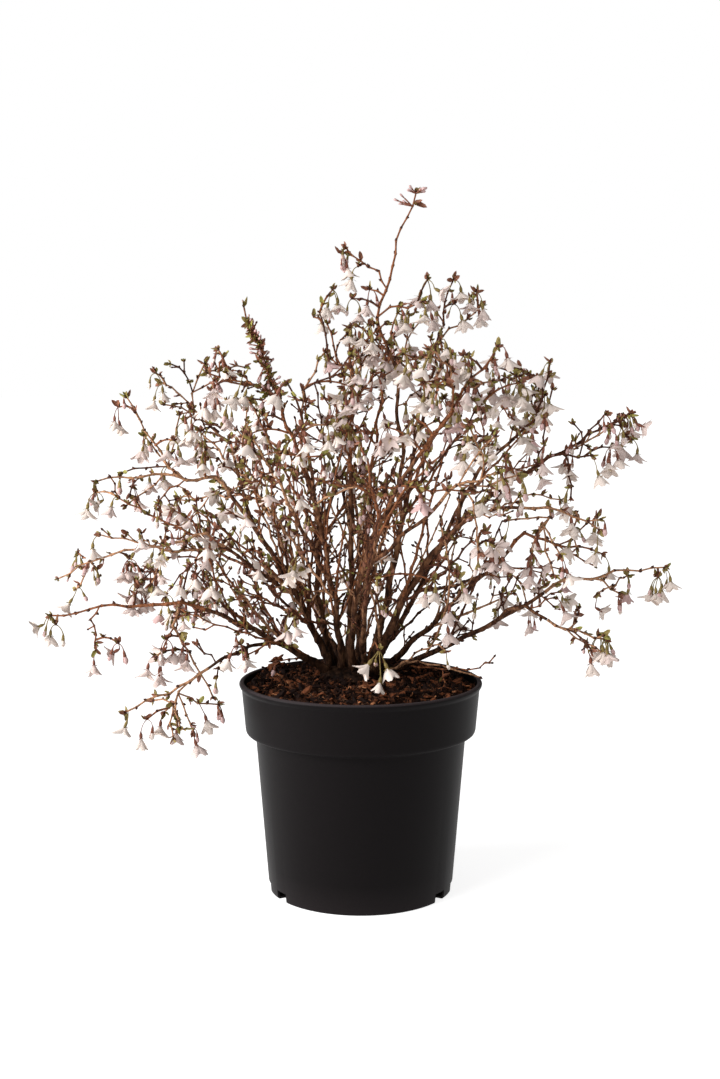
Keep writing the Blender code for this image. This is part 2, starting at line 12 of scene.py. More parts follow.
import bmesh
import bpy
import numpy as np
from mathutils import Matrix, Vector


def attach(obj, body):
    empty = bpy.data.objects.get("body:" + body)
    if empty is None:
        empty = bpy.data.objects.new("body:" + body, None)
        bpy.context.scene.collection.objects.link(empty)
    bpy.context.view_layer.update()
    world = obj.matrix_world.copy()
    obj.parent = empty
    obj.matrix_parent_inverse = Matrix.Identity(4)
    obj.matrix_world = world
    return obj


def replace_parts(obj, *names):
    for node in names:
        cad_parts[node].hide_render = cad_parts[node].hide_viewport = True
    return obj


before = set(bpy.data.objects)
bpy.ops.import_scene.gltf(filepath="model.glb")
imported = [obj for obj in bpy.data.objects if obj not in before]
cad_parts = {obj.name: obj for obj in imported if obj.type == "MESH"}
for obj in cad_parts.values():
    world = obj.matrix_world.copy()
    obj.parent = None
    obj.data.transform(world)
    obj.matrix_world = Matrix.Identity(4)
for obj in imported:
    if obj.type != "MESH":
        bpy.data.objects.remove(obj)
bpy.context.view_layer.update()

MM = 0.001
GAP = 0.3
BODY = "root"

# turns in radians, rounded as the growth draws them
FULL_TURN = 6.28
FIFTH_TURN = 1.2566

# pot
POT_HEIGHT = 217.0
RIM_RADIUS = 126.0
LIP_HEIGHT = 5.0
COLLAR_TOP_RADIUS = 122.0
COLLAR_BOTTOM_RADIUS = 118.2
COLLAR_HEIGHT = 52.0
BODY_TOP_RADIUS = 108.0
FOOT_RADIUS = 94.8
WALL = 1.8
FLOOR = 2.2
NOTCH_HEIGHT = 9.5
NOTCH_DEPTH = 8.0
NOTCHES = ((57.0, 10.0), (90.0, 30.0), (123.0, 10.0))
SHOULDER = POT_HEIGHT - COLLAR_HEIGHT
SHOULDER_DROP = 2.0
POT_SIDES = 192
MOULD_RADIUS = 2.2

# compost and root crown
SOIL_EDGE = 205.0
SOIL_CENTRE = 217.0
SOIL_BUMP = 1.6
PATCH_RADIUS = 46.0
CROWN_CENTRE = (-6.0, 17.0)
CROWN_SIZE = (39.0, 34.0)
CROWN_HEIGHT = 13.0
FOOT_HEIGHT = 6.0
CLUMP = (-90.0, 58.0)
SOIL_SIDES = 200
SOIL_RINGS = 64
CROWN_SIDES = 96
CROWN_RINGS = 26

# bark chips on the compost: colour, how many, and their smallest and largest size
CHIPS = {
    "bark_chips_dark": ((0.008, 0.0030, 0.0020), 640, (3.0, 11.0)),
    "bark_chips_red": ((0.105, 0.034, 0.014), 460, (2.4, 10.5)),
    "bark_chips_tan": ((0.27, 0.11, 0.050), 130, (1.4, 6.0)),
}
SHARDS = 6
FIBRES = 420

# stems: foot on the crown, knee and tip, thickness at the foot and at the tip
STEMS = {
    "stem_low_left": ((-33, 8), (-105, -20, 270), (-155, -35, 295), 9.0, 4.4),
    "stem_left": ((-30, 23), (-65, 15, 300), (-135, 30, 405), 9.0, 4.4),
    "stem_centre_left": ((-24, 34), (-45, 35, 305), (-15, 40, 435), 7.4, 4.0),
    "stem_upper_left": ((-19, 10), (-28, -12, 310), (-55, -25, 430), 8.0, 4.4),
    "stem_centre": ((-13, 24), (-10, 15, 320), (-10, 5, 430), 9.4, 5.0),
    "stem_cross": ((-7, 0), (0, -45, 330), (55, -75, 450), 8.0, 4.2),
    "stem_back_centre": ((2, 32), (5, 55, 300), (10, 85, 405), 7.4, 4.2),
    "stem_right_upright": ((10, 18), (30, 10, 315), (50, 20, 420), 10.2, 5.4),
    "stem_right": ((14, 3), (50, -20, 315), (130, -30, 410), 10.2, 5.4),
    "stem_low_right": ((25, 10), (110, -10, 265), (185, -20, 310), 7.8, 4.0),
    "stem_far_right": ((22, 24), (85, 30, 280), (155, 45, 345), 7.4, 4.2),
    "stem_back_left": ((-19, 45), (-55, 90, 285), (-100, 145, 370), 8.0, 4.2),
    "stem_back_right": ((12, 40), (55, 85, 285), (105, 145, 375), 8.0, 4.2),
    "stem_back": ((-5, 46), (0, 105, 285), (-5, 195, 375), 8.0, 4.2),
    "stem_front": ((3, -9), (5, -75, 310), (15, -125, 380), 6.6, 4.0),
}

# boughs: limb they leave and how far along it, knee and tip, thickness at the foot and at the tip
BOUGHS = {
    "bough_droop": ("stem_low_left", 0.45, (-115, -36, 256), (-150, -55, 240), 4.6, 3.2),
    "bough_left_mid": ("stem_left", 0.42, (-100, 0, 325), (-135, -15, 355), 5.0, 3.6),
    "bough_left_high": ("stem_left", 0.78, (-122, 44, 404), (-132, 60, 438), 4.2, 3.4),
    "bough_upper_left": ("stem_upper_left", 0.7, (-50, -50, 440), (-55, -60, 475), 4.6, 3.4),
    "bough_top": ("stem_right_upright", 0.8, (40, 0, 470), (25, -5, 560), 5.0, 3.4),
    "bough_right_up": ("stem_right", 0.8, (118, -8, 430), (155, -5, 465), 4.8, 3.6),
    "bough_right_mid": ("stem_right", 0.7, (115, -55, 392), (155, -65, 400), 4.8, 3.6),
    "bough_low_right": ("stem_low_right", 0.72, (160, -36, 298), (185, -46, 287), 4.2, 3.2),
    "bough_front_right": ("stem_cross", 0.48, (35, -90, 370), (75, -115, 410), 5.0, 3.6),
    "bough_front_left": ("stem_upper_left", 0.42, (-45, -60, 355), (-65, -95, 400), 5.0, 3.6),
    "bough_back_left": ("stem_back_left", 0.5, (-95, 125, 305), (-140, 160, 320), 5.0, 3.6),
    "bough_back_right": ("stem_back_right", 0.5, (95, 125, 295), (140, 160, 305), 5.0, 3.6),
}

# masses: limb they continue, and the points their main twigs reach
MASSES = {
    "twigs_left_long": ("stem_low_left", (-308, -40, 290), (-270, -10, 250), (-150, -25, 205)),
    "twigs_left_droop": ("bough_droop", (-230, -75, 200), (-195, -50, 195)),
    "twigs_left_arm": ("bough_left_mid", (-308, 0, 322), (-292, 25, 345), (-210, -25, 320)),
    "twigs_left": ("stem_left", (-270, 20, 420), (-225, 45, 465), (-240, 30, 505)),
    "twigs_left_high": ("bough_left_high", (-210, 75, 520), (-175, 50, 485), (-165, 80, 540)),
    "twigs_spire_left": ("stem_upper_left", (-115, -25, 595), (-150, -40, 530), (-85, -10, 510)),
    "twigs_shoulder": ("bough_upper_left", (-70, -70, 520), (-35, -60, 550)),
    "twigs_top_left": ("stem_centre_left", (-40, 35, 590), (-15, 50, 570)),
    "twigs_top_centre": ("stem_centre", (-10, 0, 575), (-30, 20, 545)),
    "twigs_top_spire": ("bough_top", (55, 5, 708), (-15, 10, 655), (60, -20, 600)),
    "twigs_top_right": ("stem_right_upright", (95, 40, 625), (125, 50, 600)),
    "twigs_right_shoulder": ("stem_cross", (130, -80, 555), (75, -95, 560)),
    "twigs_right_arm": ("stem_right", (265, -35, 490), (270, -20, 465), (225, -50, 450)),
    "twigs_right_up": ("bough_right_up", (190, 0, 540), (160, 15, 535)),
    "twigs_right_mid": ("bough_right_mid", (230, -75, 380), (210, -60, 395), (170, -85, 380)),
    "twigs_right_back": ("stem_far_right", (255, 60, 340), (240, 75, 370)),
    "twigs_right_long": ("stem_low_right", (303, -30, 337), (260, -20, 310)),
    "twigs_right_droop": ("bough_low_right", (240, -60, 270), (215, -45, 290)),
    "twigs_front_right": ("bough_front_right", (125, -150, 440), (100, -150, 480), (110, -130, 365)),
    "twigs_front": ("stem_front", (0, -185, 470), (-35, -190, 435), (50, -200, 430)),
    "twigs_front_left": ("bough_front_left", (-100, -135, 470), (-105, -150, 415), (-55, -140, 480)),
    "twigs_back_left": ("stem_back_left", (-185, 205, 465), (-210, 210, 385), (-125, 190, 500)),
    "twigs_back_left_low": ("bough_back_left", (-230, 200, 315), (-205, 190, 270)),
    "twigs_back": ("stem_back", (-20, 250, 510), (-70, 255, 465), (45, 260, 450)),
    "twigs_back_right": ("stem_back_right", (195, 205, 465), (135, 190, 500), (230, 210, 385)),
    "twigs_back_right_low": ("bough_back_right", (230, 205, 305), (195, 190, 260)),
    "twigs_top_back": ("stem_back_centre", (40, 110, 595), (0, 120, 565), (85, 130, 555)),
}

# the rule of the solids' twigs and blossoms
STEP = 24.0
KINK = 2.6
TWIG_TIP = 0.8
NODE_OFFSET = 2.0
SUNK = 0.5
OVERHANG = 4.0
SIDE_TWIGS = 7
SIDE_LENGTH = (34.0, 62.0)
BLOSSOMS = 8
PEDICEL = (9.0, 15.0)
BELL_LENGTH = 15.0
BELL_RADIUS = 8.0
CLEARANCE = 1.0

# finer growth: how far apart the nodes are, how far they stand off the line, and widths and lengths
INTERNODE = 12.0
FINE_INTERNODE = 9.0
SHOOT_INTERNODE = 12.5
JAG = 1.9
THINNEST = 0.82
LIMB_SLIMMING = 0.88
FINE_LENGTH = (10.0, 44.0)
SHOOT_LENGTH = (70.0, 190.0)
SHOOT_WIDTH = (1.1, 1.9)

# the distance that blossoms keep: usually, in a bunch, and at the tip of a main twig
FLOWER_ROOM = 15.0
BUNCH_ROOM = 8.0
TIP_ROOM = 10.0
FLOWER_DROP = 12.0

# where growth ends: the lowest twig, the widest and highest shoot, the height below which a shoot is
# bare of blossom, and the length of a spire's bare tip
LOWEST = 172.0
SHOOT_SPREAD = 190.0
SHOOT_TOP = 545.0
BARE_BELOW = 262.0
BARE_TIP = 24.0

# a single twig starts on a limb or main twig that is this close to its first point
SNAP = 16.0

# blossoms
CALYX = 6.4
CALYX_RIM = 1.3
PETAL_LENGTH = 15.4
PETAL_WIDTH = 13.4
STAMENS = 6

# rings of a resting bud, its foot at 0: radius and height
NODE_BUD = ((0.85, 0.5), (1.35, -1.3))
NODE_BUD_POINT = -3.6

# how each mass is dressed: chance of a fine twig at a node, its length as a share of the usual, how
# often a spur blooms, how many of the solids' blossoms are open here, and the share of its side twigs
DRESS = {
    "twigs_left_long": (0.04, 0.4, 0.10, 0, 0.15),
    "twigs_left_droop": (0.22, 0.5, 0.40, 4, 0.7),
    "twigs_left_arm": (0.28, 0.5, 0.20, 2, 0.7),
    "twigs_left": (0.14, 0.5, 0.25, 3, 0.45),
    "twigs_left_high": (0.25, 0.5, 0.30, 3, 0.8),
    "twigs_spire_left": (0.45, 0.4, 0.10, 2, 0.9),
    "twigs_shoulder": (0.25, 0.4, 0.40, 4, 0.8),
    "twigs_top_left": (0.36, 0.6, 0.45, 5, 0.6),
    "twigs_top_centre": (0.50, 0.8, 0.60, 6, 0.9),
    "twigs_top_spire": (0.08, 0.4, 0.20, 3, 0.0),
    "twigs_top_right": (0.22, 0.5, 0.45, 5, 0.6),
    "twigs_right_shoulder": (0.36, 0.5, 0.45, 5, 0.8),
    "twigs_right_arm": (0.24, 0.5, 0.35, 4, 0.65),
    "twigs_right_up": (0.30, 0.5, 0.45, 5, 0.8),
    "twigs_right_mid": (0.12, 0.5, 0.30, 3, 0.5),
    "twigs_right_back": (0.04, 0.4, 0.10, 0, 0.15),
    "twigs_right_long": (0.05, 0.4, 0.10, 1, 0.15),
    "twigs_right_droop": (0.05, 0.4, 0.15, 1, 0.3),
    "twigs_front_right": (0.14, 0.5, 0.28, 3, 0.4),
    "twigs_front": (0.25, 0.5, 0.35, 4, 0.7),
    "twigs_front_left": (0.35, 0.6, 0.45, 5, 0.9),
    "twigs_back_right": (0.30, 0.6, 0.40, 5, 0.8),
    "twigs_back_right_low": (0.10, 0.4, 0.20, 2, 0.4),
}
DRESS_USUAL = (0.38, 0.65, 0.5, 6, 0.9)

# how many leaves a tuft has at a node of a twig, and at a spur
FEW = (2, 3, 4)
SOME = (3, 4, 5)

# masses that end in a spire: how far down from its tip it bears no blossom, and how often a tuft
SPIRES = {"twigs_top_spire": (135.0, 0.06), "twigs_spire_left": (95.0, 0.95)}

# how many clusters hang at the tip of the first main twig
TIP_CLUSTERS = {"twigs_right_droop": 2, "twigs_right_arm": 2, "twigs_left_arm": 0}

# thin shoots from the foot of each stem
SHOOTS = {
    "stem_low_left": 8, "stem_left": 9, "stem_centre_left": 8, "stem_upper_left": 9, "stem_centre": 7,
    "stem_back_centre": 4, "stem_low_right": 3, "stem_right": 3, "stem_right_upright": 3, "stem_cross": 2,
    "stem_front": 2,
}
SHOOTS_USUAL = 4

# the thicket between the stems, where few spurs bloom: half its width, and its lowest and highest z
THICKET = (135.0, 310.0, 468.0)
THICKET_BLOOM = 0.3

# open sky between the sprays: lowest and highest x and z of places that stay bare at any depth
GAPS = ((-96.0, -48.0, 532.0, 640.0), (126.0, 200.0, 580.0, 720.0), (44.0, 84.0, 350.0, 402.0),
        (-40.0, -14.0, 536.0, 572.0))

# single twigs: points from the crown or a limb outwards, thickness, tint, how richly it is dressed, and
# what hangs at its end
SPRIGS = (
    ("sprig_front", ((4, -6, 229), (10, -38, 256), (14, -66, 268), (18, -88, 264)), 1.3, "brown", 0.0,
     ("flower", (0.45, -0.2, -1.0), 13.0), ("flower", (-0.8, -0.2, -1.0), 11.0),
     ("flower", (0.05, -0.3, -1.0), 26.0), ("bud", (-0.3, 0.6, -0.9), 12.0)),
    ("sprig_rim", ((26, 6, 226), (58, -4, 237), (92, -14, 231), (121, -20, 223.5)), 1.3, "tan", 0.0),
    ("sprig_right", ((24, 10, 228), (62, -20, 252), (78, -46, 262), (84, -62, 258)), 1.2, "tan", 0.0,
     ("bud", (0.1, -0.3, -1.0), 9.0)),
    ("sprig_left_1", ((-44, 20, 262), (-72, 0, 286), (-104, -14, 306), (-138, -24, 322)), 1.7, "brown", 0.5),
    ("sprig_left_2", ((-62, 0, 243), (-86, 4, 268), (-102, 6, 300), (-118, 4, 336)), 1.6, "brown", 0.4),
    ("sprig_left_3", ((-26, 4, 262), (-52, -22, 282), (-84, -38, 300), (-116, -46, 312)), 1.6, "dark", 0.5),
    ("sprig_left_4", ((-50, 18, 276), (-72, -2, 308), (-98, -14, 336), (-128, -22, 356)), 1.7, "tan", 0.6),
    ("sprig_left_5", ((-68, 12, 304), (-98, 0, 336), (-132, -10, 366), (-164, -16, 392)), 1.7, "brown", 0.6),
    ("sprig_left_6", ((-130, -12, 350), (-164, -12, 366), (-204, -8, 384), (-244, -4, 404)),
     1.7, "brown", 0.8),
    ("sprig_left_7", ((-150, -20, 346), (-188, -24, 352), (-226, -22, 362), (-262, -14, 368)),
     1.5, "tan", 0.8),
    ("sprig_mid_1", ((46, 18, 400), (62, -2, 440), (80, -14, 480), (104, -20, 512)), 1.7, "brown", 0.7),
    ("sprig_mid_2", ((28, -62, 396), (66, -58, 432), (92, -60, 466), (116, -66, 500)), 1.6, "dark", 0.7),
    ("sprig_mid_3", ((44, 16, 384), (72, 28, 420), (92, 34, 456), (126, 42, 488)), 1.7, "brown", 0.7),
    ("sprig_mid_4", ((40, 2, 450), (54, -4, 476), (64, -10, 504), (80, -14, 534)), 1.5, "tan", 0.6),
    ("sprig_top_2", ((-30, -4, 520), (-33, -6, 546), (-35, -8, 568), (-41, -8, 590)), 1.4, "dark", 0.0),
    ("sprig_low_left", ((-46, 4, 234), (-70, -16, 256), (-92, -34, 262), (-112, -48, 252)),
     1.4, "brown", 0.5),
)

# bunches of blossom on a thin twig from the nearest limb or main twig: where they hang, how many
# blossoms and how many buds
BUNCHES = (
    (-19, 8, 649, 1, 2), (-3, 4, 636, 1, 0), (-28, 0, 613, 2, 1), (9, -4, 613, 2, 1),
    (-9, 0, 604, 1, 1), (-224, -25, 315, 4, 0), (-170, -40, 340, 3, 0), (-193, -50, 268, 3, 0),
    (-205, -45, 250, 2, 1), (-47, 10, 586, 3, 0), (66, -15, 622, 4, 0), (117, 20, 612, 3, 0),
    (96, 30, 600, 1, 1), (52, -70, 487, 3, 1), (26, -60, 478, 3, 0), (70, -60, 516, 2, 1),
    (-32, -60, 480, 2, 1), (-180, 20, 480, 2, 1), (-165, 30, 470, 1, 2), (-190, 10, 462, 2, 1),
    (-172, 0, 494, 1, 1), (-150, 0, 512, 2, 1), (-133, -10, 500, 1, 2), (-110, -30, 470, 2, 1),
    (-98, -20, 488, 1, 2), (-62, -50, 472, 1, 2), (-158, 10, 452, 1, 2), (138, -20, 432, 2, 1),
    (9, -30, 577, 3, 0), (38, -50, 538, 3, 0), (99, -60, 546, 3, 1), (154, -60, 521, 3, 1),
    (88, -80, 497, 2, 1), (108, -90, 465, 3, 0), (248, -30, 457, 3, 2), (205, -30, 450, 2, 2),
    (234, -40, 388, 2, 1), (119, -90, 379, 4, 0), (131, -80, 361, 3, 1), (166, -70, 356, 4, 1),
    (298, -30, 327, 3, 2), (237, -45, 269, 4, 1), (69, -90, 332, 2, 2), (93, -85, 334, 2, 1),
    (-63, -70, 427, 3, 0), (-61, -80, 354, 3, 0), (-96, -60, 352, 2, 0), (-70, -55, 293, 4, 0),
    (-234, -10, 343, 4, 1), (-213, -15, 333, 4, 2), (-226, -20, 320, 2, 2), (-270, 10, 409, 3, 1),
    (-213, 50, 530, 1, 1), (-251, 40, 495, 2, 0), (-118, -70, 266, 2, 1), (-305, -35, 280, 1, 1),
    (-242, -40, 262, 1, 2), (-176, -50, 265, 3, 0), (-212, -60, 189, 1, 1), (-99, -40, 448, 3, 0),
    (-144, -40, 375, 3, 0), (-10, -60, 517, 2, 1), (139, -70, 450, 2, 1),
)

# camera and photograph
PHOTO = (720, 1079)
FOCAL_PIXELS = 1525.0
CAMERA_AT = (0.0, -1.5424, 0.531)
CAMERA_DOWN = 6.26
CAMERA_SHIFT = -0.7
SENSOR = 36.0


def unit(vector):
    return np.asarray(vector, float) / np.linalg.norm(vector)


def spin(rng):
    return rng.uniform(0, FULL_TURN)


def anyway(rng):
    return [rng.uniform(-1, 1) for _ in range(3)]


def square_to(along, rng):
    """A random direction square to along."""
    return unit(np.cross(along, anyway(rng)))


def round_angles(sides):
    return 2 * math.pi * np.arange(sides) / sides


def bow(start, through, end, shares):
    """The points at shares of the curve from start to end that leans towards through."""
    return start * (1 - shares) ** 2 + through * 2 * shares * (1 - shares) + end * shares ** 2


def distances_from(point, starts, steps):
    """The distance from a point to each rod that goes from starts by steps."""
    shares = ((point - starts) * steps).sum(1) / (steps ** 2).sum(1)
    return np.linalg.norm(starts + np.clip(shares, 0, 1)[:, None] * steps - point, axis=1)


class Room:
    """The rods that limbs, twigs and blossoms fill, so that each piece keeps to its own space."""

    def __init__(self):
        self.starts = np.zeros((0, 3))
        self.steps = np.zeros((0, 3))
        self.radii = np.zeros(0)
        self.owners = []

    def add(self, owner, path, radii):
        path = np.asarray(path, float)
        self.starts = np.vstack([self.starts, path[:-1]])
        self.steps = np.vstack([self.steps, np.diff(path, axis=0)])
        self.radii = np.append(self.radii, [max(pair) for pair in zip(radii, radii[1:])])
        self.owners += [owner] * (len(path) - 1)

    def distances(self, a, b):
        """Shortest distance from the rod a-b to the middle line of every rod."""
        d1, d2, r = b - a, self.steps, a - self.starts
        aa, ee = d1.dot(d1), np.einsum("ij,ij->i", d2, d2)
        cc, ff, bb = r @ d1, np.einsum("ij,ij->i", d2, r), d2 @ d1
        under = aa * ee - bb * bb
        s = np.where(under > 1e-9, (bb * ff - cc * ee) / np.maximum(under, 1e-9), 0.0).clip(0, 1)
        t = ((bb * s + ff) / ee).clip(0, 1)
        s = ((bb * t - cc) / aa).clip(0, 1)
        return np.linalg.norm(r + s[:, None] * d1 - t[:, None] * d2, axis=1)

    def is_clear(self, path, radii, near=(), free=0.0, margin=CLEARANCE):
        """Whether a path keeps clear of all; its first free millimetres may touch the owners in near."""
        if not self.owners:
            return True
        path = np.asarray(path, float)
        close = np.isin(self.owners, list(near))
        travelled = 0.0
        for i in range(len(path) - 1):
            a, b = path[i], path[i + 1]
            length = float(np.linalg.norm(b - a))
            room = self.distances(a, b) - self.radii - max(radii[i], radii[i + 1]) - margin
            if travelled + length <= free:
                room = room[~close]
            elif travelled < free:
                later = a + (b - a) * (free - travelled) / length
                room[close] = (self.distances(later, b) - self.radii)[close] - radii[i + 1] - margin
            if room.size and room.min() < 0:
                return False
            travelled += length
        return True


def curve(start, knee, tip, parts):
    """A smooth path from start past knee to tip."""
    start, knee, tip = (np.asarray(p, float) for p in (start, knee, tip))
    first, second = np.linalg.norm(knee - start), np.linalg.norm(tip - knee)
    bend = first / (first + second)
    through = (knee - start * (1 - bend) ** 2 - tip * bend ** 2) / (2 * bend * (1 - bend))
    shares = np.linspace(0, 1, parts + 1)[:, None]
    return bow(start, through, tip, shares)


def wander(path, amount, rng):
    """Moves the inner points of a path to alternate sides, as growth from node to node does."""
    path = np.array(path, float)
    along = unit(path[-1] - path[0])
    side = square_to(along, rng)
    over = np.cross(along, side)
    for i in range(1, len(path) - 1):
        push = amount * rng.uniform(0.5, 1.2) * (1 if i % 2 else -1)
        path[i] += side * push + over * rng.uniform(-0.5, 0.5) * amount
    return path


def taper(thick, thin, count, flare):
    """Radii from thick to thin diameter, with a flare over the first quarter."""
    shares = np.linspace(0, 1, count)
    swell = 1 + flare * np.clip(1 - shares * 4, 0, 1)
    return (thick + (thin - thick) * shares ** 0.8) / 2 * swell


def grow_limb(name, start, shape, parts, flare, near, free, room):
    """A limb's path and radii, on the first seeded wander that stays clear of the limbs before it."""
    knee, tip, thick, thin = shape
    radii = taper(thick, thin, parts + 1, flare)
    for attempt in range(60):
        rng = random.Random(f"{name} {attempt}")
        path = wander(curve(start, knee, tip, parts), 1.5 + attempt * 0.12, rng)
        if room.is_clear(path, radii, near, free):
            break
    room.add(name, path, radii)
    return path, radii


def grow_limbs(room):
    """Paths and radii of all stems and boughs by name."""
    limbs = {}
    for name, (foot, *shape) in STEMS.items():
        start = (*foot, SOIL_CENTRE + FOOT_HEIGHT)
        limbs[name] = grow_limb(name, start, shape, 8, 0.35, set(STEMS), 26.0, room)
    for name, (parent, share, *shape) in BOUGHS.items():
        path, _ = limbs[parent]
        place = share * (len(path) - 1)
        i = int(place)
        start = path[i] + (path[i + 1] - path[i]) * (place - i)
        limbs[name] = grow_limb(name, start, shape, 5, 0.15, {parent}, 16.0, room)
    return limbs


def leader_path(name, start, heading, tip, radii, near, room, free=9.0):
    """A main twig from start along heading to tip, on the first seeded way that is clear."""
    start, tip = np.asarray(start, float), np.asarray(tip, float)
    length = np.linalg.norm(tip - start)
    count = max(3, round(length / STEP))
    for attempt in range(80):
        rng = random.Random(f"{name} {attempt}")
        sway = np.array(anyway(rng)) * attempt * 0.5
        knee = (start + tip) / 2 + unit(heading) * length * 0.12 + sway
        path = wander(curve(start, knee, tip, count), KINK, rng)
        path[1] = start + unit(heading) * length / count
        if room.is_clear(path, np.linspace(*radii, count + 1), near, free):
            break
    return path


def side_heading(along, rng, lean=0.0):
    """A direction that leaves along sideways, turned a little upwards by lean."""
    across = square_to(unit(along), rng)
    angle = math.radians(rng.uniform(38, 66))
    heading = unit(along) * math.cos(angle) + across * math.sin(angle)
    return unit(heading + np.array([0.0, 0.0, lean]))


def in_gap(point):
    return any(x0 < point[0] < x1 and z0 < point[2] < z1 for x0, x1, z0, z1 in GAPS)


def in_thicket(point):
    half, low, high = THICKET
    return abs(point[0]) < half and low < point[2] < high


def dressing(name):
    return DRESS.get(name, DRESS_USUAL)


class Twig:
    """One twig: its path, its radii and how many forks lie between it and its limb."""

    def __init__(self, path, radii, level=0):
        self.path = np.asarray(path, float)
        self.radii = np.asarray(radii, float)
        self.level = level


def past_node(twig, i):
    """The point just past node i of a twig where a side piece starts, and the direction there."""
    ahead = unit(twig.path[i + 1] - twig.path[i])
    return twig.path[i] + ahead * NODE_OFFSET, ahead


def within_reach(point, tips):
    """Whether a point stays inside the height and the spread that the main twigs of a mass reach."""
    spread = max(math.hypot(x, y) for x, y, _ in tips)
    top = max(z for _, _, z in tips)
    return math.hypot(point[0], point[1]) < spread + OVERHANG and point[2] < top + OVERHANG


def grow_leaders(limbs, room):
    """The main twigs of every mass: one goes on from the limb, the others leave it on the way."""
    masses = {}
    for name, (limb, *tips) in MASSES.items():
        path, widths = limbs[limb]
        along = unit(path[-1] - path[-2])
        start, thick = path[-1] + along * GAP, widths[-1]
        way = leader_path(name, start, along, tips[0], (thick, TWIG_TIP), {limb}, room)
        first = Twig(way, np.linspace(thick, TWIG_TIP, len(way)))
        masses[name] = [first]
        room.add(name, first.path, first.radii)
    for name, (limb, *tips) in MASSES.items():
        first = masses[name][0]
        for number, tip in enumerate(tips[1:]):
            reach = [
                (np.linalg.norm(tip - node) * (1.6 - unit(tip - node).dot(unit(first.path[i + 1] - node))), i)
                for i, node in enumerate(first.path[:-1]) if i > 0
            ]
            i = min(reach)[1]
            start, ahead = past_node(first, i)
            heading = unit(tip - start) + ahead * 0.6
            thick = first.radii[i] * 0.8
            way = leader_path(f"{name} {number}", start, heading, tip, (thick, TWIG_TIP), {name}, room, 24.0)
            twig = Twig(way, np.linspace(thick, TWIG_TIP, len(way)))
            twig.radii[0] = first.radii[i] * SUNK
            masses[name].append(twig)
            room.add(name, twig.path, twig.radii)
    return masses


def grow_side_twigs(masses, room):
    """Short twigs from the nodes of the main ones, one round of all masses after another."""
    wanted = {name: random.Random("side " + name) for name in masses}
    for _ in range(SIDE_TWIGS):
        for name, rng in wanted.items():
            for _ in range(14):
                parent = masses[name][rng.randrange(len(MASSES[name]) - 1)]
                i = rng.randrange(1, len(parent.path) - 1)
                node, along = past_node(parent, i)
                heading = side_heading(along, rng, 0.15)
                length = rng.uniform(*SIDE_LENGTH)
                middle = node + heading * length * 0.5
                end = middle + unit(heading + [rng.uniform(-0.5, 0.5) for _ in range(3)]) * length * 0.5
                radii = np.array([parent.radii[i] * SUNK, 0.95, 0.75])
                if not within_reach(end, MASSES[name][1:]):
                    continue
                if room.is_clear([node, middle, end], radii, {name}, 7.0):
                    twig = Twig([node, middle, end], radii, 1)
                    masses[name].append(twig)
                    room.add(name, twig.path, twig.radii)
                    break


def grow_blossoms(masses, room):
    """Blossoms that hang from the nodes and ends of the twigs."""
    blossoms = {name: [] for name in masses}
    wanted = {name: random.Random("blossom " + name) for name in masses}
    for _ in range(BLOSSOMS):
        for name, rng in wanted.items():
            for _ in range(16):
                twig = masses[name][rng.randrange(len(masses[name]))]
                node, _ = past_node(twig, rng.randrange(1, len(twig.path) - 1))
                if rng.random() < 0.5:
                    node = twig.path[-1] - unit(twig.path[-1] - twig.path[-2]) * NODE_OFFSET
                heading = unit([rng.uniform(-0.6, 0.6), rng.uniform(-0.6, 0.6), -1.0])
                length = rng.uniform(*PEDICEL)
                neck = node + heading * length
                cup = [neck + heading * BELL_LENGTH * 0.45, neck + heading * BELL_LENGTH * 0.85]
                width = (BELL_RADIUS + 0.3,) * 2
                stalk = room.is_clear([node, neck], (1.0, 1.0), {name}, 4.0, 0.5)
                if stalk and room.is_clear(cup, width, (), 0.0, 0.5):
                    blossoms[name].append((node, heading, length))
                    room.add(name, [node, neck], (1.0, 1.0))
                    room.add(name, cup, width)
                    break
    return blossoms


NO_QUADS = np.zeros((0, 4), np.int64)
NO_TRIS = np.zeros((0, 3), np.int64)


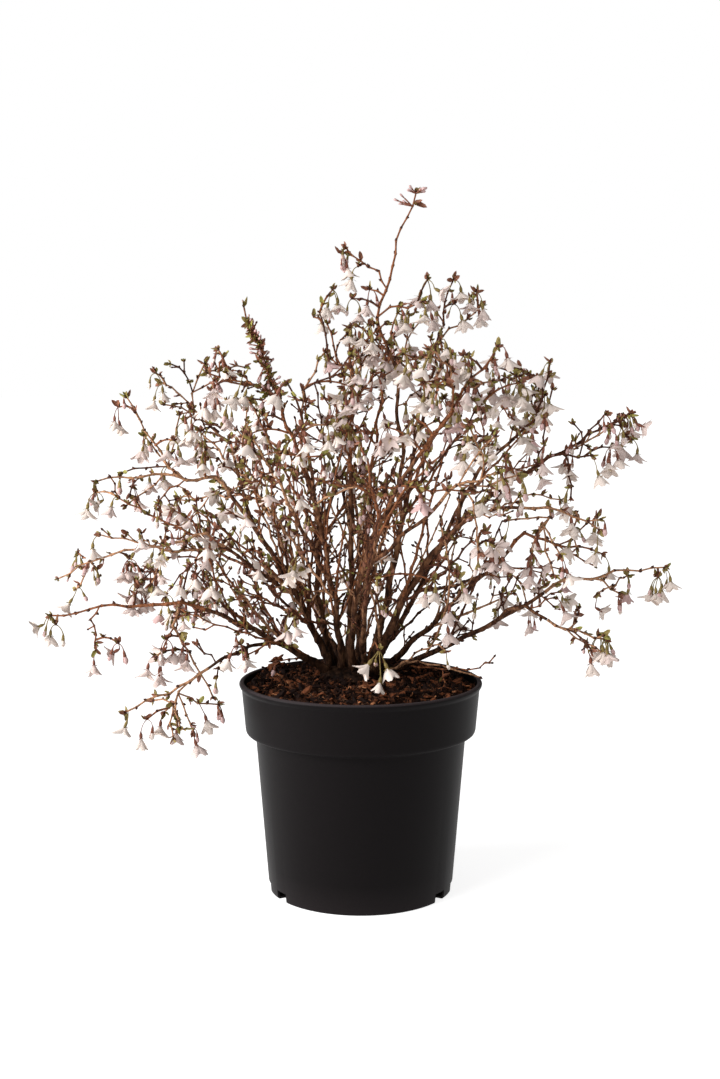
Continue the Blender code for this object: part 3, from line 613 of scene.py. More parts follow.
class Heap:
    """Points and faces of one piece, gathered before its mesh is made."""

    def __init__(self, shapes=()):
        self.points, self.quads, self.tris, self.count = [], [NO_QUADS], [NO_TRIS], 0
        for shape in shapes:
            self.add(*shape)

    def add(self, points, quads=NO_QUADS, tris=NO_TRIS):
        self.points.append(np.asarray(points, float))
        self.quads.append(np.asarray(quads, np.int64) + self.count)
        self.tris.append(np.asarray(tris, np.int64) + self.count)
        self.count += len(points)

    def repeat(self, shape, found):
        """Adds shape once for each (turn, place) found; a turn is 3x3 and holds the scale."""
        points, quads, tris = shape
        turns, places = (np.array(part) for part in zip(*found))
        moved = np.einsum("kij,nj->kni", turns, points) + places[:, None, :]
        shift = (np.arange(len(places)) * len(points))[:, None, None]
        self.add(moved.reshape(-1, 3), (quads + shift).reshape(-1, 4), (tris + shift).reshape(-1, 3))

    def shape(self):
        return tuple(np.concatenate(part) for part in (self.points, self.quads, self.tris))

    def make(self, name, look, slot, smooth=True):
        points, quads, tris = self.shape()
        mesh = bpy.data.meshes.new(name)
        mesh.vertices.add(len(points))
        mesh.vertices.foreach_set("co", (points * MM).astype(np.float32).ravel())
        mesh.loops.add(quads.size + tris.size)
        mesh.loops.foreach_set("vertex_index", np.concatenate([quads.ravel(), tris.ravel()]).astype(np.int32))
        starts = np.concatenate([np.arange(len(quads)) * 4, quads.size + np.arange(len(tris)) * 3])
        mesh.polygons.add(len(starts))
        mesh.polygons.foreach_set("loop_start", starts.astype(np.int32))
        mesh.polygons.foreach_set("use_smooth", np.full(len(starts), smooth))
        mesh.update(calc_edges=True)
        mesh.validate()
        mesh.materials.append(look)
        piece = add_object(name, mesh)
        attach(piece, BODY)
        return piece


def add_object(name, data):
    thing = bpy.data.objects.new(name, data)
    bpy.context.scene.collection.objects.link(thing)
    return thing


def ring_frames(path):
    """Two directions square to the path at each of its points, turning as little as possible."""
    ahead = np.diff(path, axis=0)
    ahead /= np.linalg.norm(ahead, axis=1)[:, None]
    along = np.vstack([ahead[:1], ahead[:-1] + ahead[1:], ahead[-1:]])
    along /= np.linalg.norm(along, axis=1)[:, None]
    side = np.cross(along[0], (0.0, 0.0, 1.0) if abs(along[0][2]) < 0.8 else (1.0, 0.0, 0.0))
    sides = np.empty_like(path)
    for i, heading in enumerate(along):
        side = side - heading * side.dot(heading)
        side /= math.sqrt(side.dot(side))
        sides[i] = side
    return sides, np.cross(along, sides)


def tube_faces(rows, sides, downwards=False):
    """Quads between rings of points, and caps to the first and last ring's middles, which follow them.

    The rings run along the tube's heading, or against it if they run downwards.
    """
    i = np.arange(sides)
    j = (i + 1) % sides
    ring = np.arange(rows - 1)[:, None] * sides
    a, b = (ring + i).ravel(), (ring + j).ravel()
    quads = np.stack([a, b, b + sides, a + sides], axis=1)
    middle = np.full(sides, rows * sides)
    top = (rows - 1) * sides
    foot = np.stack([middle, j, i], axis=1)
    head = np.stack([middle + 1, i + top, j + top], axis=1)
    caps = np.concatenate([foot, head])
    return (quads[:, [0, 3, 2, 1]], caps[:, [0, 2, 1]]) if downwards else (quads, caps)


def rod(heap, path, radii, sides, relief=1.0):
    """A round closed rod along path; relief gives each ring's radius round it as shares."""
    path = np.asarray(path, float)
    width = np.asarray(radii, float)[:, None] * relief
    side, over = ring_frames(path)
    angles = round_angles(sides)
    points = (
        path[:, None, :]
        + side[:, None, :] * (np.cos(angles) * width)[..., None]
        + over[:, None, :] * (np.sin(angles) * width)[..., None]
    ).reshape(-1, 3)
    heap.add(np.vstack([points, path[:1], path[-1:]]), *tube_faces(len(path), sides))


def smooth_path(path, radii, step):
    """The path and radii drawn through its points as one smooth line, with points every step."""
    path, radii = np.asarray(path, float), np.asarray(radii, float)
    full = np.column_stack([path, radii])
    ends = np.vstack([2 * full[:1] - full[1:2], full, 2 * full[-1:] - full[-2:-1]])
    found = []
    for i in range(1, len(ends) - 2):
        p0, p1, p2, p3 = ends[i - 1:i + 3]
        count = max(2, int(round(np.linalg.norm(p2[:3] - p1[:3]) / step)))
        t = (np.arange(count) / count)[:, None]
        found.append(0.5 * (2 * p1 + (p2 - p0) * t + (2 * p0 - 5 * p1 + 4 * p2 - p3) * t ** 2
                            + (3 * p1 - p0 - 3 * p2 + p3) * t ** 3))
    found = np.vstack(found + [full[-1:]])
    return found[:, :3], found[:, 3]


def waves(seed, count):
    """Size, pitch, lobes and phase of seeded sine waves."""
    rng = random.Random(seed)
    return [
        (rng.uniform(0.5, 1.0), rng.uniform(0.1, 1.2), rng.randrange(1, 6), spin(rng)) for _ in range(count)
    ]


def bark_relief(travel, sides, seed, strength):
    """Radius shares of an uneven stem: long ridges, dents and a swelling at each node."""
    angles = round_angles(sides)
    relief = np.zeros((len(travel), sides))
    for size, pitch, lobes, phase in waves(seed, 7):
        relief += size * np.sin(travel[:, None] * pitch * 0.35 + lobes * angles[None] + phase)
    relief *= strength / 2.4
    rng = random.Random(seed + "nodes")
    place = rng.uniform(5, 12)
    while place < travel[-1] - 3:
        side = spin(rng)
        ring = np.exp(-((travel - place) / 1.5) ** 2)[:, None]
        bulge = np.exp(-((travel - place) / 2.4) ** 2)[:, None]
        lump = bulge * np.clip(np.cos(angles - side), 0, 1) ** 2
        relief += 0.07 * ring + 0.26 * rng.uniform(0.4, 1.1) * lump
        place += rng.uniform(9, 19)
    return 1 + relief


def jagged(path, radii, rng, step=INTERNODE, jag=JAG):
    """Nodes of a twig about step apart, each off the line to the other side than the last."""
    nodes, widths = [path[0]], [radii[0]]
    flip = 1
    for i in range(len(path) - 1):
        a, b = path[i], path[i + 1]
        length = np.linalg.norm(b - a)
        parts = max(1, int(round(length / step)))
        side = unit(np.cross(b - a, [rng.uniform(-1, 1), rng.uniform(-1, 1), 0.3]))
        for k in range(1, parts + 1):
            share = k / parts
            place = a + (b - a) * share
            if k < parts:
                place = place + side * jag * flip * rng.uniform(0.6, 1.2)
                flip = -flip
            nodes.append(place)
            widths.append(radii[i] + (radii[i + 1] - radii[i]) * share)
    return np.array(nodes), np.array(widths)


def knobbed(nodes, widths):
    """Rings of a twig with a small swelling at each node, and how wide each is."""
    rings, radii = [nodes[0]], [widths[0]]
    for i in range(len(nodes) - 1):
        a, b = nodes[i], nodes[i + 1]
        length = np.linalg.norm(b - a)
        near = min(0.3, 1.6 / length)
        for share, swell in ((near, 1.0), (0.55, 0.92), (1 - near, 1.06), (1.0, 1.38)):
            rings.append(a + (b - a) * share)
            radii.append((widths[i] + (widths[i + 1] - widths[i]) * share) * swell)
    radii[-1] *= 0.5
    return np.array(rings), np.array(radii)


def turn_to(direction, spin, size):
    """A turn that takes -Z to direction, spun about it, times size."""
    down = -unit(direction)
    side = unit(np.cross(down, (0.0, 1.0, 0.02) if abs(down[1]) < 0.9 else (1.0, 0.0, 0.02)))
    over = np.cross(down, side)
    c, s = math.cos(spin), math.sin(spin)
    return np.column_stack([side * c + over * s, over * c - side * s, down]) * size


def turned(profile, sides, point=None):
    """A closed shape of revolution about Z from (radius, height) rings, its end drawn out to point."""
    points = [(r * math.cos(a), r * math.sin(a), z) for r, z in profile for a in round_angles(sides)]
    ends = [(0, 0, profile[0][1]), (0, 0, profile[-1][1] if point is None else point)]
    return np.array(points + ends), *tube_faces(len(profile), sides, downwards=True)


def sheet(points, rows, columns):
    """One layer of quads over points in rows and columns."""
    i, j = np.meshgrid(np.arange(rows - 1), np.arange(columns - 1), indexing="ij")
    a = (i * columns + j).ravel()
    return np.array(points), np.stack([a, a + 1, a + columns + 1, a + columns], axis=1), NO_TRIS


def petal(length, width, base, opening, flare, azimuth, rng, rows=5, columns=7, notch=0.07):
    """One petal of a bell: it leaves the calyx rim at opening from the axis and bends on by flare."""
    points = []
    phase, twist, arch = spin(rng), rng.uniform(0.05, 0.11), rng.uniform(0.15, 0.34)
    radius, height = base, 0.0
    for i in range(rows):
        u = i / (rows - 1)
        angle = opening + flare * u
        if i:
            radius += length / (rows - 1) * math.sin(angle)
            height -= length / (rows - 1) * math.cos(angle)
        half = width / 2 * (0.17 + 0.83 * math.sin(math.pi * (0.03 + 0.60 * u)) ** 1.2) * (1 - 0.36 * u ** 6)
        for j in range(columns):
            v = 2 * j / (columns - 1) - 1
            back = length * (notch * math.exp(-(v / 0.22) ** 2) * u ** 3 + 0.22 * abs(v) ** 2.6 * u ** 3)
            out = radius - back * math.sin(angle)
            lift = half * (twist * v - arch * v * v) + 0.4 * math.sin(4.2 * v + phase) * u * u
            turn = azimuth + v * half / max(out, 1.9)
            points.append(((out + lift) * math.cos(turn), (out + lift) * math.sin(turn),
                           height + back * math.cos(angle)))
    return sheet(points, rows, columns)


def lowered(shape, drop):
    return shape[0] - (0, 0, drop), shape[1], shape[2]


def scaled(shape, size):
    return shape[0] * size, shape[1], shape[2]


def calyx(seed, cup, length, opening, flare=0.3, width=2.3):
    """The cup of a blossom or a bud, with five sepals at its rim."""
    rng = random.Random(seed)
    parts = [turned(cup, 6)]
    for k in range(5):
        lean = opening + rng.uniform(-0.1, 0.2)
        sepal = petal(length, width, 1.5, lean, flare, FIFTH_TURN * k + 0.63, rng, 3, 3, 0.0)
        parts.append(lowered(sepal, CALYX - 0.5))
    return Heap(parts).shape()


def stamen(rng, size):
    """A thin stalk from the blossom's throat, and the small head at its tip."""
    azimuth, lean = spin(rng), rng.uniform(0.05, 0.35)
    around = np.array([math.cos(azimuth), math.sin(azimuth), 0.0])
    heading = around * math.sin(lean) - (0, 0, math.cos(lean))
    root = around * 0.7 - (0, 0, CALYX - 0.2)
    tip = root + heading * rng.uniform(5.5, 8.5) * size
    side = unit(np.cross(heading, (0.3, 0.2, 1.0))) * 0.13
    over = np.cross(heading, side)
    stalk = np.array([root + side, root - side * 0.5 + over, root - side * 0.5 - over, tip])
    head = np.array([[0.45, 0, 0], [0, 0.45, 0], [-0.45, 0, 0], [0, -0.45, 0], [0, 0, 0.6], [0, 0, -0.6]])
    faces = [[0, 1, 4], [1, 2, 4], [2, 3, 4], [3, 0, 4], [1, 0, 5], [2, 1, 5], [3, 2, 5], [0, 3, 5]]
    return (stalk, NO_QUADS, [[0, 1, 3], [1, 2, 3], [2, 0, 3]]), (head + tip, NO_QUADS, faces)


def flower(seed, opening, flare, size):
    """The petals, the green and red parts and the stamens of one hanging blossom, its neck at 0."""
    rng = random.Random(seed)
    petals = []
    for k in range(5):
        length = PETAL_LENGTH * size * rng.uniform(0.9, 1.06)
        width = PETAL_WIDTH * size * rng.uniform(0.92, 1.07)
        leans = opening + rng.uniform(-0.17, 0.17), flare + rng.uniform(-0.22, 0.22)
        azimuth = FIFTH_TURN * k + rng.uniform(-0.11, 0.11)
        petals.append(lowered(petal(length, width, CALYX_RIM, *leans, azimuth, rng), CALYX))
    stamens = [part for _ in range(STAMENS) for part in stamen(rng, size)]
    cup = ((0.6, 0.5), (1.0, -0.6), (1.75, -2.6), (1.8, -4.6), (1.45, -CALYX))
    return Heap(petals).shape(), calyx(seed + "s", cup, 4.6, 0.95), Heap(stamens).shape()


def closed_bud(seed, size):
    """A shut flower bud: petals wrapped into a drop, on its narrow calyx."""
    drop = ((1.2, -CALYX + 0.8), (2.3, -CALYX - 1.4), (2.7, -CALYX - 3.6), (1.9, -CALYX - 6.2))
    cup = ((0.6, 0.4), (1.4, -2.0), (1.65, -4.4), (1.95, -CALYX + 0.2))
    return scaled(turned(drop, 6, -CALYX - 7.9), size), scaled(calyx(seed, cup, 6.4, 0.42, -0.55, 3.3), size)


def leaf(seed, length, width, fold, droop):
    """A small toothed leaf folded along its middle, its stalk at 0, pointing along -Z."""
    rng = random.Random(seed)
    rows, columns = 5, 3
    points = []
    for i in range(rows):
        u = i / (rows - 1)
        half = width / 2 * (math.sin(math.pi * min(1.0, 0.06 + 0.94 * u) ** 0.8) ** 0.85 + 0.05)
        half *= 1 + (0.10 if i % 2 else -0.06)
        bend = droop * u * u
        for j in range(columns):
            v = 2 * j / (columns - 1) - 1
            x = v * half * math.cos(fold)
            y = abs(v) * half * math.sin(fold) + bend * length * 0.4 + rng.uniform(-0.1, 0.1)
            points.append((x, y, -length * u * (1 - 0.12 * bend)))
    return sheet(points, rows, columns)


def main():
    room = Room()
    limbs = grow_limbs(room)
    masses = grow_leaders(limbs, room)
    grow_side_twigs(masses, room)
    blossoms = grow_blossoms(masses, room)
    build_pot()
    build_compost()
    build_crown()
    build_limbs(limbs)
    Dresser(limbs, masses, blossoms).build()
    build_stage()
    build_camera()


def add_node(tree, kind, **values):
    """A node whose inputs named in values are set."""
    node = tree.nodes.new(kind)
    for key, value in values.items():
        node.inputs[key.replace("_", " ")].default_value = value
    return node


def principled(name, colour, roughness, **extra):
    look = bpy.data.materials.new(name)
    look.use_nodes = True
    shader = look.node_tree.nodes["Principled BSDF"]
    values = {"Base Color": (*colour, 1.0), "Roughness": roughness}
    values.update((key.replace("_", " "), value) for key, value in extra.items())
    for key, value in values.items():
        shader.inputs[key].default_value = value
    look.diffuse_color = (*colour, 1.0)
    return look


def add_noise(look, scale, colours, detail=4.0, stretch=(1, 1, 1), bump=0.0, distance=0.0002, rough=None):
    """Lets a noise in object space run through colours, and bump and roughen the surface."""
    tree = look.node_tree
    link = tree.links.new
    shader = tree.nodes["Principled BSDF"]
    place = add_node(tree, "ShaderNodeTexCoord")
    turn = add_node(tree, "ShaderNodeMapping", Scale=stretch)
    noise = add_node(tree, "ShaderNodeTexNoise", Scale=scale, Detail=detail, Roughness=0.6)
    link(place.outputs["Object"], turn.inputs["Vector"])
    link(turn.outputs["Vector"], noise.inputs["Vector"])
    ramp = add_node(tree, "ShaderNodeValToRGB")
    stops = ramp.color_ramp.elements
    for stop, (share, colour) in zip(stops, (colours[0], colours[-1])):
        stop.position, stop.color = share, (*colour, 1)
    for share, colour in colours[1:-1]:
        stops.new(share).color = (*colour, 1)
    link(noise.outputs["Fac"], ramp.inputs["Fac"])
    link(ramp.outputs["Color"], shader.inputs["Base Color"])
    if bump:
        raised = add_node(tree, "ShaderNodeBump", Strength=bump, Distance=distance)
        link(noise.outputs["Fac"], raised.inputs["Height"])
        link(raised.outputs["Normal"], shader.inputs["Normal"])
    if rough:
        spread = add_node(tree, "ShaderNodeMapRange", To_Min=rough[0], To_Max=rough[1])
        link(noise.outputs["Fac"], spread.inputs["Value"])
        link(spread.outputs["Result"], shader.inputs["Roughness"])
    return look


def scale_colour_by_height(look, low, high, share):
    """Scales the colour by share at the height low and below, and ever less up to high, in metres."""
    tree = look.node_tree
    link = tree.links.new
    colour = tree.nodes["Principled BSDF"].inputs["Base Color"]
    place = add_node(tree, "ShaderNodeTexCoord")
    split = add_node(tree, "ShaderNodeSeparateXYZ")
    spread = add_node(tree, "ShaderNodeMapRange", From_Min=low, From_Max=high, To_Min=share, To_Max=1.0)
    scale = tree.nodes.new("ShaderNodeVectorMath")
    scale.operation = "SCALE"
    link(place.outputs["Object"], split.inputs["Vector"])
    link(split.outputs["Z"], spread.inputs["Value"])
    link(colour.links[0].from_socket, scale.inputs[0])
    link(spread.outputs["Result"], scale.inputs["Scale"])
    link(scale.outputs["Vector"], colour)


def shade(colour, factor):
    return tuple(c * factor for c in colour)


def mottled(name, colour, roughness, specular, scale, tones, **more):
    """A material that a noise takes through tones: places on the noise and shares of the colour."""
    look = principled(name, colour, roughness, Specular_IOR_Level=specular)
    return add_noise(look, scale, [(place, shade(colour, tone)) for place, tone in tones], **more)


def wood(name, colour, scale):
    """Matte brown wood in streaks of dark and light."""
    tones = (0.3, 0.3), (0.48, 1.0), (0.7, 2.1)
    return mottled(name, colour, 0.78, 0.1, scale, tones, detail=6.0, bump=0.45, distance=0.0003)


def bark(name, lift):
    """Bark of the stems, with painted shade that darkens it near the crown and fades out higher up."""
    look = principled(name, (0.09, 0.04, 0.022), 0.8, Specular_IOR_Level=0.08)
    ramp = ((0.32, (0.012, 0.005, 0.003)), (0.45, (0.070, 0.028, 0.014)), (0.57, (0.18, 0.078, 0.038)),
            (0.72, (0.36, 0.19, 0.10)))
    add_noise(look, 230.0, [(place, shade(colour, lift)) for place, colour in ramp],
              detail=8.0, stretch=(1.0, 1.0, 0.35), bump=0.8, distance=0.0007, rough=(0.65, 0.9))
    # painted shade: the colour is scaled down to a fifth at the crown and rises back to full at 0.33 m
    scale_colour_by_height(look, 0.222, 0.33, 0.20)
    return look


def plastic():
    """Black plastic with a painted highlight along the top of the lip, and dusty at the foot."""
    look = principled("pot_plastic", (0.0055, 0.0039, 0.0041), 0.45, Specular_IOR_Level=0.045)
    ramp = ((0.3, (0.036, 0.028, 0.0295)), (0.7, (0.049, 0.039, 0.041)))
    add_noise(look, 900.0, ramp, detail=3.0, bump=0.12, distance=0.0001, rough=(0.40, 0.52))
    # painted highlight: only the top of the lip keeps the full, lighter colour; the pot below 214.7 mm is
    # scaled down to 0.122 of it
    scale_colour_by_height(look, 0.2147, 0.2169, 0.122)
    scale_colour_by_height(look, 0.004, 0.030, 1.9)
    return look


def around_pot(radius, angle, height):
    """A point in metres, its angle counted from the front of the pot."""
    return radius * MM * math.sin(angle), -radius * MM * math.cos(angle), height * MM


def closed_mesh(name, shape):
    """The mesh of a closed shape, its faces turned outwards."""
    bmesh.ops.recalc_face_normals(shape, faces=shape.faces)
    mesh = bpy.data.meshes.new(name)
    shape.to_mesh(mesh)
    shape.free()
    return mesh


def lathe(name, profile, sides):
    """A closed body of revolution whose profile runs from the axis back to the axis."""
    shape = bmesh.new()
    rings = []
    for radius, height in profile:
        angles = [2 * math.pi * (i + 0.5) / sides for i in range(sides if radius else 1)]
        rings.append([shape.verts.new(around_pot(radius, angle, height)) for angle in angles])
    for lower, upper in zip(rings, rings[1:]):
        for i in range(sides):
            corners = [lower[i % len(lower)], lower[(i + 1) % len(lower)],
                       upper[(i + 1) % len(upper)], upper[i % len(upper)]]
            shape.faces.new(list(dict.fromkeys(corners)))
    return closed_mesh(name, shape)


def rounded(profile, radius, steps=3):
    """The profile with each inner corner cut to a small curve."""
    found = [profile[0]]
    for corners in zip(profile, profile[1:], profile[2:]):
        before, corner, after = (np.array(p, float) for p in corners)
        back, on = before - corner, after - corner
        reach = min(radius, np.linalg.norm(back) * 0.45, np.linalg.norm(on) * 0.45)
        a, b = corner + unit(back) * reach, corner + unit(on) * reach
        found += [tuple(bow(a, corner, b, k / steps)) for k in range(steps + 1)]
    return found + [profile[-1]]


def inner_radius(height):
    """Radius of the pot's inside wall at a height."""
    if height < SHOULDER - SHOULDER_DROP:
        low, high, share = FOOT_RADIUS, BODY_TOP_RADIUS, height / SHOULDER
    else:
        low, high, share = COLLAR_BOTTOM_RADIUS, COLLAR_TOP_RADIUS, (height - SHOULDER) / COLLAR_HEIGHT
    return low + (high - low) * share - WALL


def build_pot():
    """The moulded pot: rolled lip, deep collar, tapered body and notched foot."""
    lip = POT_HEIGHT - LIP_HEIGHT
    outside = [
        (0.0, 0.0),
        (FOOT_RADIUS, 0.0),
        (BODY_TOP_RADIUS, SHOULDER - SHOULDER_DROP),
        (COLLAR_BOTTOM_RADIUS - 1.0, SHOULDER),
        (COLLAR_BOTTOM_RADIUS, SHOULDER + 2.5),
        (COLLAR_TOP_RADIUS, lip - 2.0),
    ]
    rolled_lip = [
        (RIM_RADIUS - 2.2, lip),
        (RIM_RADIUS - 1.2, POT_HEIGHT - 2.2),
        (RIM_RADIUS - 2.6, POT_HEIGHT),
        (RIM_RADIUS - 6.6, POT_HEIGHT),
    ]
    inside = [
        (COLLAR_TOP_RADIUS - WALL, POT_HEIGHT - 9.0),
        (inner_radius(SHOULDER + 2.0), SHOULDER + 2.0),
        (BODY_TOP_RADIUS - WALL, SHOULDER),
        (FOOT_RADIUS - WALL, FLOOR),
        (0.0, FLOOR),
    ]
    profile = rounded(outside + rolled_lip + inside, MOULD_RADIUS)
    pot = add_object("pot_moulded", lathe("pot_moulded", profile, POT_SIDES))
    for middle, width in NOTCHES:
        cut_notch(pot, middle, width)
        cut_notch(pot, -middle, width)
    pot.data.polygons.foreach_set("use_smooth", [True] * len(pot.data.polygons))
    pot.data.set_sharp_from_angle(angle=math.radians(35))
    pot.data.materials.clear()
    pot.data.materials.append(plastic())
    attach(pot, BODY)
    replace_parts(pot, "pot")


def cut_notch(pot, middle, width):
    """Cuts one drain notch out of the foot's edge, its middle and width in degrees."""
    shape = bmesh.new()
    corners = [
        shape.verts.new(around_pot(radius, math.radians(middle + side * width), height))
        for height in (-3.0, NOTCH_HEIGHT)
        for side in (-0.5, 0.5)
        for radius in (FOOT_RADIUS - NOTCH_DEPTH, FOOT_RADIUS + 14.0)
    ]
    for face in ((0, 1, 3, 2), (4, 5, 7, 6), (0, 1, 5, 4), (2, 3, 7, 6), (0, 2, 6, 4), (1, 3, 7, 5)):
        shape.faces.new([corners[i] for i in face])
    cutter = add_object("notch", closed_mesh("notch", shape))
    step = pot.modifiers.new("notch", "BOOLEAN")
    step.operation = "DIFFERENCE"
    step.object = cutter
    graph = bpy.context.evaluated_depsgraph_get()
    result = bpy.data.meshes.new_from_object(pot.evaluated_get(graph))
    pot.modifiers.clear()
    pot.data = result
    bpy.data.objects.remove(cutter, do_unlink=True)


def soil_height(x, y):
    """The mounded surface of the compost, flat under the root crown."""
    out = np.hypot(x - CROWN_CENTRE[0], y - CROWN_CENTRE[1])
    share = np.clip((out - PATCH_RADIUS) / (inner_radius(SOIL_EDGE) - PATCH_RADIUS), 0, 1)
    bump = SOIL_BUMP * np.sin(x * 0.11 + 1.0) * np.cos(y * 0.13 - 0.4) * np.minimum(1.0, 4 * share)
    return SOIL_CENTRE + (SOIL_EDGE - SOIL_CENTRE) * share ** 1.3 + bump


def dressed_height(x, y):
    """The visible surface: a little higher than the solid's towards the wall, as loose compost lies."""
    out = np.hypot(x, y) / inner_radius(SOIL_EDGE)
    return soil_height(x, y) + 4.0 * np.clip(out - 0.45, 0, 1) / 0.55


def clods(x, y, seed, size, count=26):
    """Crumbly relief from seeded waves folded on themselves."""
    rng = random.Random(seed)
    total = np.zeros_like(x)
    for _ in range(count):
        heading, pitch, phase = spin(rng), rng.uniform(0.25, 2.2), spin(rng)
        c, s = math.cos(heading), math.sin(heading)
        fold = 1.5 * np.sin((x * s - y * c) * pitch * 0.4 + phase)
        total += np.abs(np.sin((x * c + y * s) * pitch * 0.55 + phase + fold)) / (0.6 + pitch)
    total -= total.mean()
    return total / total.std() * size


def build_compost():
    """Compost with a crumbled surface, and bark chips and fibres strewn over it."""
    edge = inner_radius(SOIL_EDGE) - 2 * GAP
    angles = round_angles(SOIL_SIDES)
    radii = edge * np.sqrt(np.linspace(0.0004, 1, SOIL_RINGS))
    x, y = np.outer(radii, np.sin(angles)), -np.outer(radii, np.cos(angles))
    fade = np.clip((edge - radii) / 6.0, 0, 1)[:, None]
    z = dressed_height(x, y) + clods(x, y, "clods", 2.5) * (0.3 + 0.7 * fade)
    rings = [np.stack([x, y, z], axis=-1).reshape(-1, 3)]
    wall = (
        (inner_radius(SHOULDER + 2.0) - 2 * GAP, SHOULDER + 2.6),
        (BODY_TOP_RADIUS - WALL - GAP, SHOULDER + 0.5),
        (inner_radius(NOTCH_HEIGHT + 6.0) - 2 * GAP, NOTCH_HEIGHT + 6.0),
        (FOOT_RADIUS - NOTCH_DEPTH - 4.0, FLOOR + GAP),
    )
    for radius, height in wall:
        level = np.full_like(angles, height)
        rings.append(np.stack([radius * np.sin(angles), -radius * np.cos(angles), level], axis=1))
    ends = [(0, 0, z[0].mean()), (0, 0, FLOOR + GAP)]
    faces = tube_faces(SOIL_RINGS + len(wall), SOIL_SIDES, downwards=True)
    earth = principled("compost_crumbs", (0.02, 0.010, 0.007), 0.9, Specular_IOR_Level=0.08)
    ramp = ((0.38, (0.002, 0.001, 0.0006)), (0.52, (0.022, 0.008, 0.0045)), (0.66, (0.12, 0.045, 0.021)))
    add_noise(earth, 240.0, ramp, detail=8.0, bump=0.9, distance=0.0014)
    piece = Heap([(np.vstack(rings + [ends]), *faces)]).make("compost_surface", earth, "compost")
    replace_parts(piece, "compost")
    for name, (colour, count, sizes) in CHIPS.items():
        strew_chips(name, colour, count, sizes, edge)
    strew_fibres(edge)


def shard(seed):
    """A flat splinter of bark with uneven corners."""
    rng = random.Random(seed)
    outline = [
        (math.cos(angle) * rng.uniform(0.75, 1.1), 0.42 * math.sin(angle) * rng.uniform(0.6, 1.2))
        for angle in round_angles(6)
    ]
    low = [(x, y, -0.12) for x, y in outline]
    high = [(x * 0.86, y * 0.8, 0.12 + rng.uniform(-0.04, 0.06)) for x, y in outline]
    return np.array(low + high + [(0, 0, -0.13), (0, 0, 0.17)]), *tube_faces(2, 6)


def strewn(reach, rng):
    """A random place on a disc."""
    radius, angle = reach * math.sqrt(rng.random()), spin(rng)
    return radius * math.cos(angle), radius * math.sin(angle)


def strew_chips(name, colour, count, sizes, edge):
    """Chips of bark, sunk at all angles in the surface, and a clump of them at the rim."""
    rng = random.Random(name)
    heap = Heap()
    for variant in range(SHARDS):
        found = []
        for number in range(count // SHARDS):
            x, y = strewn(edge - 5, rng)
            rise, size = rng.uniform(-0.8, 2.2), rng.uniform(*sizes)
            if number % 12 == 0 and name != "bark_chips_tan":
                x, y = CLUMP[0] + rng.uniform(-10, 10), CLUMP[1] + rng.uniform(-9, 9)
                rise = rng.uniform(1, 19) * max(0.0, 1 - math.hypot(x - CLUMP[0], y - CLUMP[1]) / 14)
                size = rng.uniform(4, 8.5)
            tilt = unit([rng.uniform(-0.9, 0.9), rng.uniform(-0.9, 0.9), -1.0])
            found.append((turn_to(tilt, spin(rng), size), (x, y, dressed_height(x, y) + rise)))
        heap.repeat(shard(f"{name} {variant}"), found)
    look = mottled(name, colour, 0.8, 0.1, 520.0, ((0.3, 0.3), (0.7, 1.9)), bump=0.5, distance=0.0004)
    heap.make(name, look, "compost", smooth=False)


def strew_fibres(edge):
    """Thin bent fibres that lie over the compost."""
    rng = random.Random("fibres")
    heap = Heap()
    for _ in range(FIBRES):
        x, y = strewn(edge - 8, rng)
        heading, length = spin(rng), rng.uniform(3, 13)
        path = []
        for k in range(4):
            t = (k / 3 - 0.5) * length
            px = x + t * math.cos(heading) + rng.uniform(-0.7, 0.7)
            py = y + t * math.sin(heading) + rng.uniform(-0.7, 0.7)
            path.append((px, py, dressed_height(px, py) + rng.uniform(0.6, 2.8)))
        rod(heap, path, (0.15, 0.26, 0.24, 0.1), 4)
    look = principled("compost_fibre", (0.13, 0.06, 0.032), 0.85, Specular_IOR_Level=0.2)
    add_noise(look, 500.0, ((0.3, (0.04, 0.018, 0.01)), (0.7, (0.24, 0.125, 0.07))))
    heap.make("compost_fibres", look, "compost")


def build_crown():
    """The knobbly root crown that the stems rise from."""
    angles, rises = round_angles(CROWN_SIDES), np.linspace(0, 1, CROWN_RINGS)
    spread = np.interp(rises, (0, 0.35, 0.75, 1.0), (1.0, 0.9, 0.66, 0.05))
    flat = 1 - rises
    lobe = 1 + 0.09 * np.outer(flat, np.cos(5 * angles + 0.6)) + 0.05 * np.outer(flat, np.sin(11 * angles))
    foot = SOIL_CENTRE + GAP
    x = CROWN_CENTRE[0] + CROWN_SIZE[0] * 0.97 * spread[:, None] * lobe * np.cos(angles)
    y = CROWN_CENTRE[1] + CROWN_SIZE[1] * 0.97 * spread[:, None] * lobe * np.sin(angles)
    knobs = clods(x, y, "crown", 0.9) * np.sin(math.pi * rises)[:, None]
    z = foot + (CROWN_HEIGHT * rises ** 0.8)[:, None] + knobs
    z[0] = foot
    points = np.stack([x, y, z], axis=-1).reshape(-1, 3)
    ends = [(*CROWN_CENTRE, foot), (*CROWN_CENTRE, z[-1].mean())]
    heap = Heap([(np.vstack([points, ends]), *tube_faces(CROWN_RINGS, CROWN_SIDES))])
    # the crown sits lowest, so it takes the darkest of the bark's painted shade
    piece = heap.make("root_crown_bark", bark("crown_bark", 0.5), "bark")
    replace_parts(piece, "root_crown")


def build_limbs(limbs):
    """Stems and boughs with ridged bark and a swelling at each node."""
    for kind, names, sides, lift in (("stem", STEMS, 16, 0.9), ("bough", BOUGHS, 12, 0.95)):
        heap = Heap()
        for name in names:
            path, radii = limbs[name]
            path, radii = smooth_path(path, radii * LIMB_SLIMMING, 2.0)
            travel = np.concatenate([[0], np.cumsum(np.linalg.norm(np.diff(path, axis=0), axis=1))])
            rod(heap, path, radii, sides, bark_relief(travel, sides, name, 0.085))
        piece = heap.make(f"{kind}s_bark", bark(f"{kind}_bark", lift), "bark")
        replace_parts(piece, *names)


